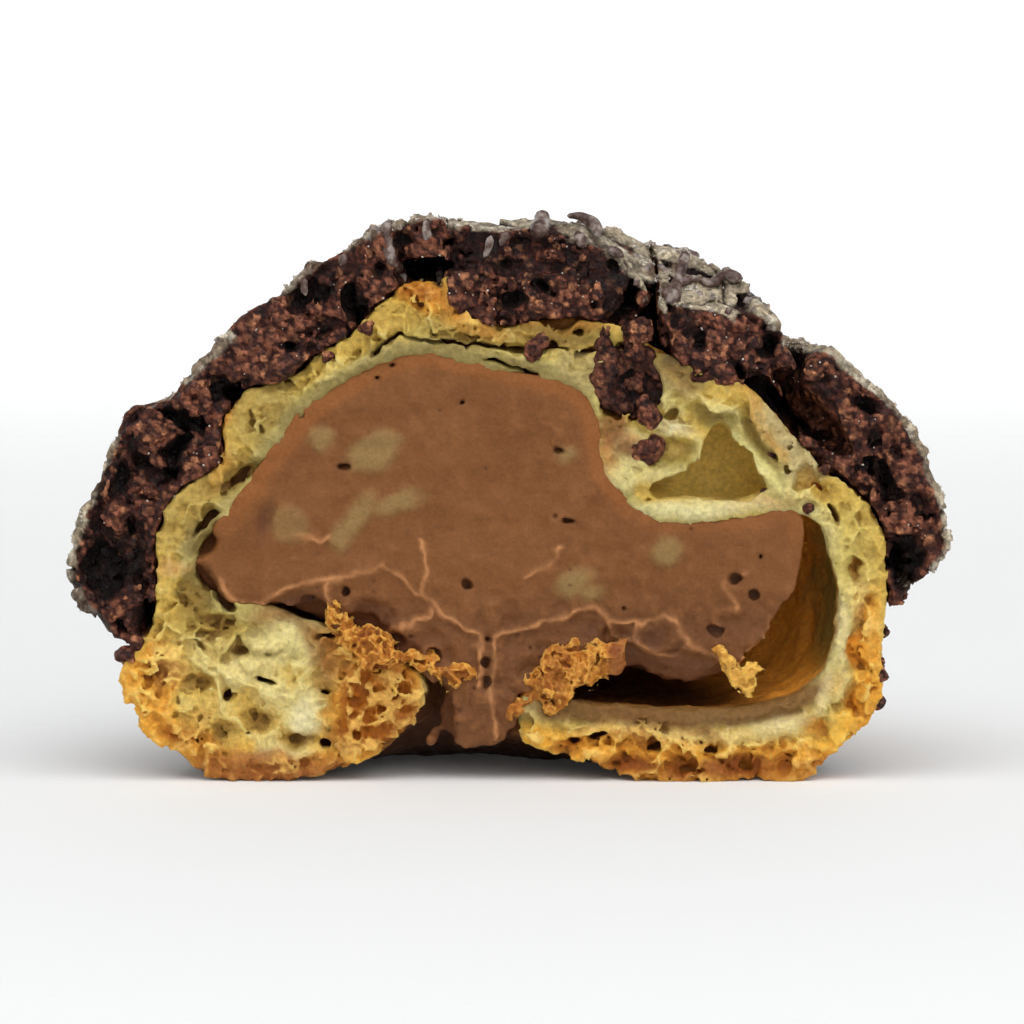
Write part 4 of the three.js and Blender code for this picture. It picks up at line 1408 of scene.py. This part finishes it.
def rope(route, radii, flatness=1.0):
    """Vertices and triangles of a rope with round ends along a route, with a radius at each place."""
    along = unit(np.gradient(route, axis=0))
    across = unit(np.cross(along, (0.1, -1.0, 0.1) if abs(along[:, 2]).mean() > 0.5 else (0, 0, 1.0)), 1e-9)
    up = np.cross(across, along)
    steps = np.concatenate([[0], np.cumsum(np.linalg.norm(np.diff(route, axis=0), axis=1))])
    from_end = np.minimum(steps, steps[-1] - steps)
    radii = radii * np.sqrt(np.clip(1 - (1 - np.minimum(from_end / radii, 1)) ** 2, 0.02, 1))
    turns = np.linspace(0, 2 * math.pi, ROPE_SIDES, endpoint=False)
    rings = [route + radii[:, None] * (math.cos(t) * across + flatness * math.sin(t) * up) for t in turns]
    points = np.stack(rings, 1).reshape(-1, 3)
    faces = []
    for ring in range(len(route) - 1):
        for side in range(ROPE_SIDES):
            a, b = ring * ROPE_SIDES + side, ring * ROPE_SIDES + (side + 1) % ROPE_SIDES
            faces += [(a, b, b + ROPE_SIDES), (a, b + ROPE_SIDES, a + ROPE_SIDES)]
    last = (len(route) - 1) * ROPE_SIDES
    faces += [(0, side + 1, side) for side in range(1, ROPE_SIDES - 1)]
    faces += [(last, last + side, last + side + 1) for side in range(1, ROPE_SIDES - 1)]
    return points, np.array(faces)


# Drizzle on the crown, seen from above, as (x, y, half thickness) from the cut backwards.
DRIZZLE = [
    [(-12.2, -17, 0.5), (-14.6, -12, 0.7), (-12.8, -3, 0.8), (-17, 6, 0.6), (-15, 14, 0.5)],
    [(-6.4, -14, 0.5), (-9, -8, 0.8), (-5.8, 2, 0.6), (-8.6, 12, 0.6)],
    [(1.4, -11, 0.4), (-1, -6, 0.45), (1.6, 4, 0.7), (-1.4, 15, 0.5)],
    [(7, -12, 0.6), (9.6, -2, 0.7), (5.4, 8, 0.6), (8, 16, 0.5)],
    [(19, -12.6, 0.6), (15.6, -7, 0.8), (19.4, 1, 0.7), (14.8, 10, 0.6)],
    [(25, -12, 0.5), (23, -4, 0.7), (26.4, 4, 0.6)],
    [(-22, -15, 0.4), (-19.6, -8, 0.7), (-24.6, 1, 0.6), (-22, 8, 0.5)],
    [(-28.4, -12, 0.5), (-31.6, -4, 0.6), (-28.6, 4, 0.5)],
    [(31, -10, 0.5), (33.6, -3, 0.5)],
]
# Fingers and beads of drizzle at the front of the crown, as (x, height, half thickness).
FINGERS = [
    [(-12.4, 56.2, 0.6), (-12.2, 54.4, 0.5), (-11.9, 52.8, 0.65), (-10.9, 51, 0.5), (-10.5, 50.2, 0.6)],
    [(-8.2, 56.4, 0.5), (-8.3, 55.2, 0.4), (-8, 54, 0.45)],
    [(-7, 51.6, 0.4), (-7.1, 50.7, 0.42), (-6.8, 49.6, 0.34)],
    [(-1.9, 54.8, 0.4), (-2.2, 53.4, 0.4), (-2.6, 52.6, 0.34)],
    [(-0.3, 55.2, 0.5), (-0.6, 54.4, 0.45), (-1, 53.8, 0.5)],
    [(3.2, 57.3, 0.6), (3.2, 56.3, 0.75), (3, 55.4, 0.95), (2.9, 54.7, 1.2)],
    [(5.7, 56.7, 0.3), (7.2, 56.6, 0.5), (8.5, 55.7, 0.75), (8.8, 54.5, 0.6)],
    [(6.6, 55.2, 0.5), (7, 54.4, 0.75), (7.6, 53.7, 0.5)],
    [(15.8, 48.3, 1.1), (16.5, 49.6, 0.7), (17.2, 51.2, 0.5), (17.7, 53, 0.5)],
    [(16.5, 49.8, 0.6), (18.4, 50.4, 0.5), (20.2, 50, 0.55), (21.6, 51, 0.5)],
    [(21.4, 51.4, 0.6), (22.4, 50.6, 0.6), (23.4, 50.4, 0.5)],
    [(23.6, 48.6, 0.6), (23.9, 48, 0.55)],
    [(21.6, 47.6, 0.5), (21.9, 47, 0.5)],
    [(25.6, 45.8, 0.4), (25.9, 45.3, 0.4)],
    [(23.6, 45.7, 0.36), (23.8, 45.3, 0.36)],
    [(9.6, 53.4, 0.4), (10.4, 53.2, 0.55), (11.4, 52.6, 0.4)],
    [(12.4, 50.4, 0.4), (12.8, 49.8, 0.5)],
    [(-20.4, 50.6, 0.4), (-20.5, 49.6, 0.4), (-20.3, 48.8, 0.34)],
    [(-16.4, 53, 0.4), (-16.8, 51.8, 0.4)],
]


def front_of_crust(x, z):
    """y of the crust's front at places seen from the front. Above the crust, its neighbours' y is used."""
    depths = np.arange(0, 9, 0.1)
    hit = whole_crust(rows_of(x[:, None], CUT_Y + depths, z[:, None])).reshape(len(x), -1) < 0
    found = hit.any(1)
    if not found.any():
        return np.full(len(x), CUT_Y)
    places = np.arange(len(x))
    return CUT_Y + np.interp(places, places[found], depths[hit.argmax(1)][found])


def drizzle_piece(material):
    """Thin ropes of chocolate that were drizzled over the crown."""
    points, faces, count = [], [], 0
    for line in DRIZZLE + FINGERS:
        first, second, radii = smooth_route(line, 0.3).T
        radii = radii * (1 + 0.3 * ripple(np.stack([first, second, radii], 1).astype(np.float32)))
        if line in DRIZZLE:
            height = top_of_crust(first, np.maximum(second, CUT_Y + 0.2))
            height = np.convolve(np.pad(height, 3, mode="edge"), np.ones(7) / 7, mode="valid")
            route = np.stack([first, second, height + 0.35 * radii], 1)
        else:
            route = np.stack([first, front_of_crust(first, second) - 0.5 * radii, second], 1)
        rope_points, rope_faces = rope(route, radii, 0.9)
        points.append(rope_points)
        faces.append(rope_faces + count)
        count += len(rope_points)
    piece = make_mesh("drizzle", np.concatenate(points), np.concatenate(faces))
    piece.data.shade_smooth()
    return finish_piece(piece, material, "cookie_crust")


def drizzle_material():
    """Dull grey-brown chocolate with a soft shine."""
    s = Shader("drizzle", Specular_IOR_Level=0.4)
    shades = (0.36, srgb(58, 36, 30)), (0.5, srgb(92, 70, 62)), (0.64, srgb(150, 138, 130))
    colour = s.ramp(s.noise(1.1, detail=4), *shades)
    rough = s.ramp(s.noise(0.9), (0.35, 0.15), (0.7, 0.45))
    return s.finish(colour, rough, s.bump(s.noise(0.9, detail=4), 0.3))


# A crystal is a double pyramid: four corners around it, then its top and its bottom.
CRYSTAL = np.array([(1, 0, 0), (-1, 0, 0), (0, 1, 0), (0, -1, 0), (0, 0, 1), (0, 0, -1)], float)
AROUND = [0, 2, 1, 3, 0]
CRYSTAL_FACES = np.array(
    [(a, b, 4) for a, b in zip(AROUND, AROUND[1:])] + [(b, a, 5) for a, b in zip(AROUND, AROUND[1:])]
)


def sugar_piece(crusts, material):
    """Small crystals of sugar on the baked crust, and fewer of them in its crumb and low on its sides.

    crusts are pieces of crust, each with the number of crystals on it.
    """
    rng = np.random.default_rng(61)
    points, faces, count = [], [], 0
    for crust, wanted in crusts:
        p = vertex_places(crust)
        normals = read_all(crust.data.vertices, "normal", 3)
        in_crumb = 0.02 * (crumb_height(p, np.ones(len(p))) > 0.0)
        chance = np.where(broken_part(p) > 0.5, in_crumb, 1.0 * (skin_height(p) > 0.1))
        chance *= np.where(p[:, 2] > 0.4 * HEIGHT, 1, 0.3)
        for i in rng.choice(len(p), wanted, replace=False, p=chance / chance.sum()):
            size = rng.uniform(0.07, 0.16)
            turn, _ = np.linalg.qr(rng.normal(size=(3, 3)))
            stretch = rng.uniform(0.6, 1.3, 3)
            crystal = size * (CRYSTAL * stretch) @ turn * np.sign(np.linalg.det(turn))
            points.append(p[i] + 0.4 * size * normals[i] + crystal)
            faces.append(CRYSTAL_FACES + count)
            count += len(CRYSTAL)
    piece = make_mesh("sugar", np.concatenate(points), np.concatenate(faces))
    return finish_piece(piece, material, "cookie_crust")


def sugar_material():
    """Clear, glittering sugar, almost white."""
    s = Shader("sugar", Specular_IOR_Level=0.7, Transmission_Weight=0.35)
    colour = s.ramp(s.noise(2.0), (0.35, srgb(214, 190, 164)), (0.65, srgb(246, 240, 230)))
    rough = s.ramp(s.noise(0.8), (0.4, 0.12), (0.6, 0.35))
    return s.finish(colour, rough)


# ---- stage ----


# Sizes and places of the stage and its lamps are in metres.
TABLE_RADIUS = 1.1
TABLE_RINGS = (0.3, 0.7)  # radii of the rings of corners inside the table
TABLE_TURNS = 96  # corners in each ring
BEND_RADIUS = 0.5
BEND_STEPS = 13
WALL_HEIGHT = 1.0
PAINT = srgb(238, 239, 239)
PAINT_ROUGHNESS = 0.8
BACK_GLOW = 0.48  # light that the pale wall behind the puff gives off itself
GLOW_FROM, GLOW_TO = -0.1, 0.9  # y where the glow starts and where it is full
AIR_LIGHT = 0.24  # even light from all sides
# Lamps as name, place, place that they point to, width and height, and watts.
LAMPS = [
    ("overhead", (0.0, -0.4, 0.75), (0, 0, 0.02), (1.5, 0.8), 8.2),
    ("front", (0.3, -1.0, 0.4), (0, 0, 0.03), (0.8, 0.5), 1.9),
]


def look_along(direction):
    return Vector(direction).to_track_quat("-Z", "Y").to_euler()


def area_light(name, place, target, size, watts):
    data = bpy.data.lights.new(name, "AREA")
    data.shape = "RECTANGLE"
    data.size, data.size_y = size
    data.energy = watts
    light = bpy.data.objects.new(name, data)
    light.location = place
    light.rotation_euler = look_along(np.array(target) - np.array(place))
    bpy.context.scene.collection.objects.link(light)


def stage():
    """A pale round table that curves up into a pale wall on all sides, two lamps and an even light."""
    floor = Shader("table", Specular_IOR_Level=0.1)
    behind = floor.add("ShaderNodeSeparateXYZ")
    floor.link(floor.place, behind.inputs[0])
    glow = floor.add("ShaderNodeMapRange", interpolation_type="SMOOTHSTEP")
    floor.link(behind.outputs["Y"], glow.inputs["Value"])
    glow.inputs["From Min"].default_value = GLOW_FROM
    glow.inputs["From Max"].default_value = GLOW_TO
    glow.inputs["To Min"].default_value = 0.0
    glow.inputs["To Max"].default_value = BACK_GLOW
    floor.surface.inputs["Emission Color"].default_value = (1, 1, 1, 1)
    floor.link(glow.outputs[0], floor.surface.inputs["Emission Strength"])
    paint = floor.finish(PAINT, PAINT_ROUGHNESS)
    angles = np.linspace(0, math.pi / 2, BEND_STEPS)
    bend = [(TABLE_RADIUS + BEND_RADIUS * math.sin(a), BEND_RADIUS * (1 - math.cos(a))) for a in angles]
    rings = [(radius, 0.0) for radius in TABLE_RINGS]
    profile = [*rings, *bend, (TABLE_RADIUS + BEND_RADIUS, WALL_HEIGHT)]
    turns = np.linspace(0, 2 * math.pi, TABLE_TURNS, endpoint=False)
    places = [(0, 0, 0)] + [(r * math.cos(t), r * math.sin(t), z) for r, z in profile for t in turns]
    pairs = [(i, (i + 1) % TABLE_TURNS) for i in range(TABLE_TURNS)]
    faces = [(0, 1 + i, 1 + j) for i, j in pairs]
    for ring in range(len(profile) - 1):
        low = 1 + TABLE_TURNS * ring
        high = low + TABLE_TURNS
        faces += [(low + i, high + i, high + j, low + j) for i, j in pairs]
    mesh = bpy.data.meshes.new("table")
    mesh.from_pydata(places, [], faces)
    mesh.shade_smooth()
    table = bpy.data.objects.new("table", mesh)
    table.data.materials.append(paint)
    bpy.context.scene.collection.objects.link(table)
    for lamp in LAMPS:
        area_light(*lamp)
    world = bpy.data.worlds.new("studio")
    world.use_nodes = True
    background = world.node_tree.nodes["Background"]
    background.inputs["Color"].default_value = (1.0, 1.0, 1.0, 1)
    background.inputs["Strength"].default_value = AIR_LIGHT
    bpy.context.scene.world = world
    bpy.context.scene.view_settings.view_transform = "Standard"


ELEVATION = 5  # degrees that the camera looks down
DISTANCE = 420  # from the cut face
VIEW_WIDTH = 102.4  # across the picture at the cut face
VIEW_CENTRE = (0.2, 27.2)  # x and height of the middle of the picture
SENSOR_WIDTH = 36
NEAREST, FURTHEST = 0.01, 20  # metres from the camera to what it sees


def camera():
    data = bpy.data.cameras.new("camera")
    data.sensor_width = SENSOR_WIDTH
    data.lens = SENSOR_WIDTH * DISTANCE / VIEW_WIDTH
    data.clip_start, data.clip_end = NEAREST, FURTHEST
    cam = bpy.data.objects.new("camera", data)
    tilt = math.radians(ELEVATION)
    target = np.array([VIEW_CENTRE[0], CUT_Y, VIEW_CENTRE[1]])
    place = target + DISTANCE * np.array([0, -math.cos(tilt), math.sin(tilt)])
    cam.location = place * MM
    cam.rotation_euler = look_along(target - place)
    bpy.context.scene.collection.objects.link(cam)
    bpy.context.scene.camera = cam


# ---- the puff ----

# Lumps that hang below the shoulder's chunk and that make up the slipped crumb, as (x, height, radius).
HANGING = [[(17.6, 43.4, 1.7), (19.6, 41.8, 1.9), (21.4, 41.2, 1.5)]]
SLIPPED = [[(9.8, 45.4, 1.2), (9.9, 43.6, 1.7), (9.5, 40.6, 1.6), (9.8, 38.2, 1.3)]]
SUGAR_ON_CRUST, SUGAR_ON_CROWN, SUGAR_ON_SHOULDER = 1500, 260, 340  # crystals

camera()
stage()
crust = crust_piece("crust", "cookie_crust")
crown = crust_piece("crust_crown", "crust_chunk_crown", left=1.0, right=1.4, above=50.4, growth=0)
shoulder = crust_piece("crust_shoulder", "crust_chunk_shoulder", right=0.5, lumps=HANGING, growth=0)
# the slipped crumb gets a painted shade, as it stands out into more light than the crust around it
crumb_options = {"left": 0.3, "right": 0.3, "lumps": SLIPPED, "whole": False, "shade": 0.75, "growth": 0}
crust_piece("crust_crumb", "crust_crumb_slipped", **crumb_options)
dough = choux_material()
sculpted_piece(
    "choux", dough, "choux", ["choux_shell"], choux_start, choux_detail, choux_solid.box, choux_tint
)
sculpted_piece(
    "cream", cream_material(), "chocolate_cream", ["chocolate_cream"],
    cream_start, cream_detail, cream_solid.box, cream_tint, most=MOST_IN_CREAM,
)
torn_choux_piece(dough)
crumbs_piece(cookie)
drizzle_piece(drizzle_material())
sugared = [(crust, SUGAR_ON_CRUST), (crown, SUGAR_ON_CROWN), (shoulder, SUGAR_ON_SHOULDER)]
sugar_piece(sugared, sugar_material())
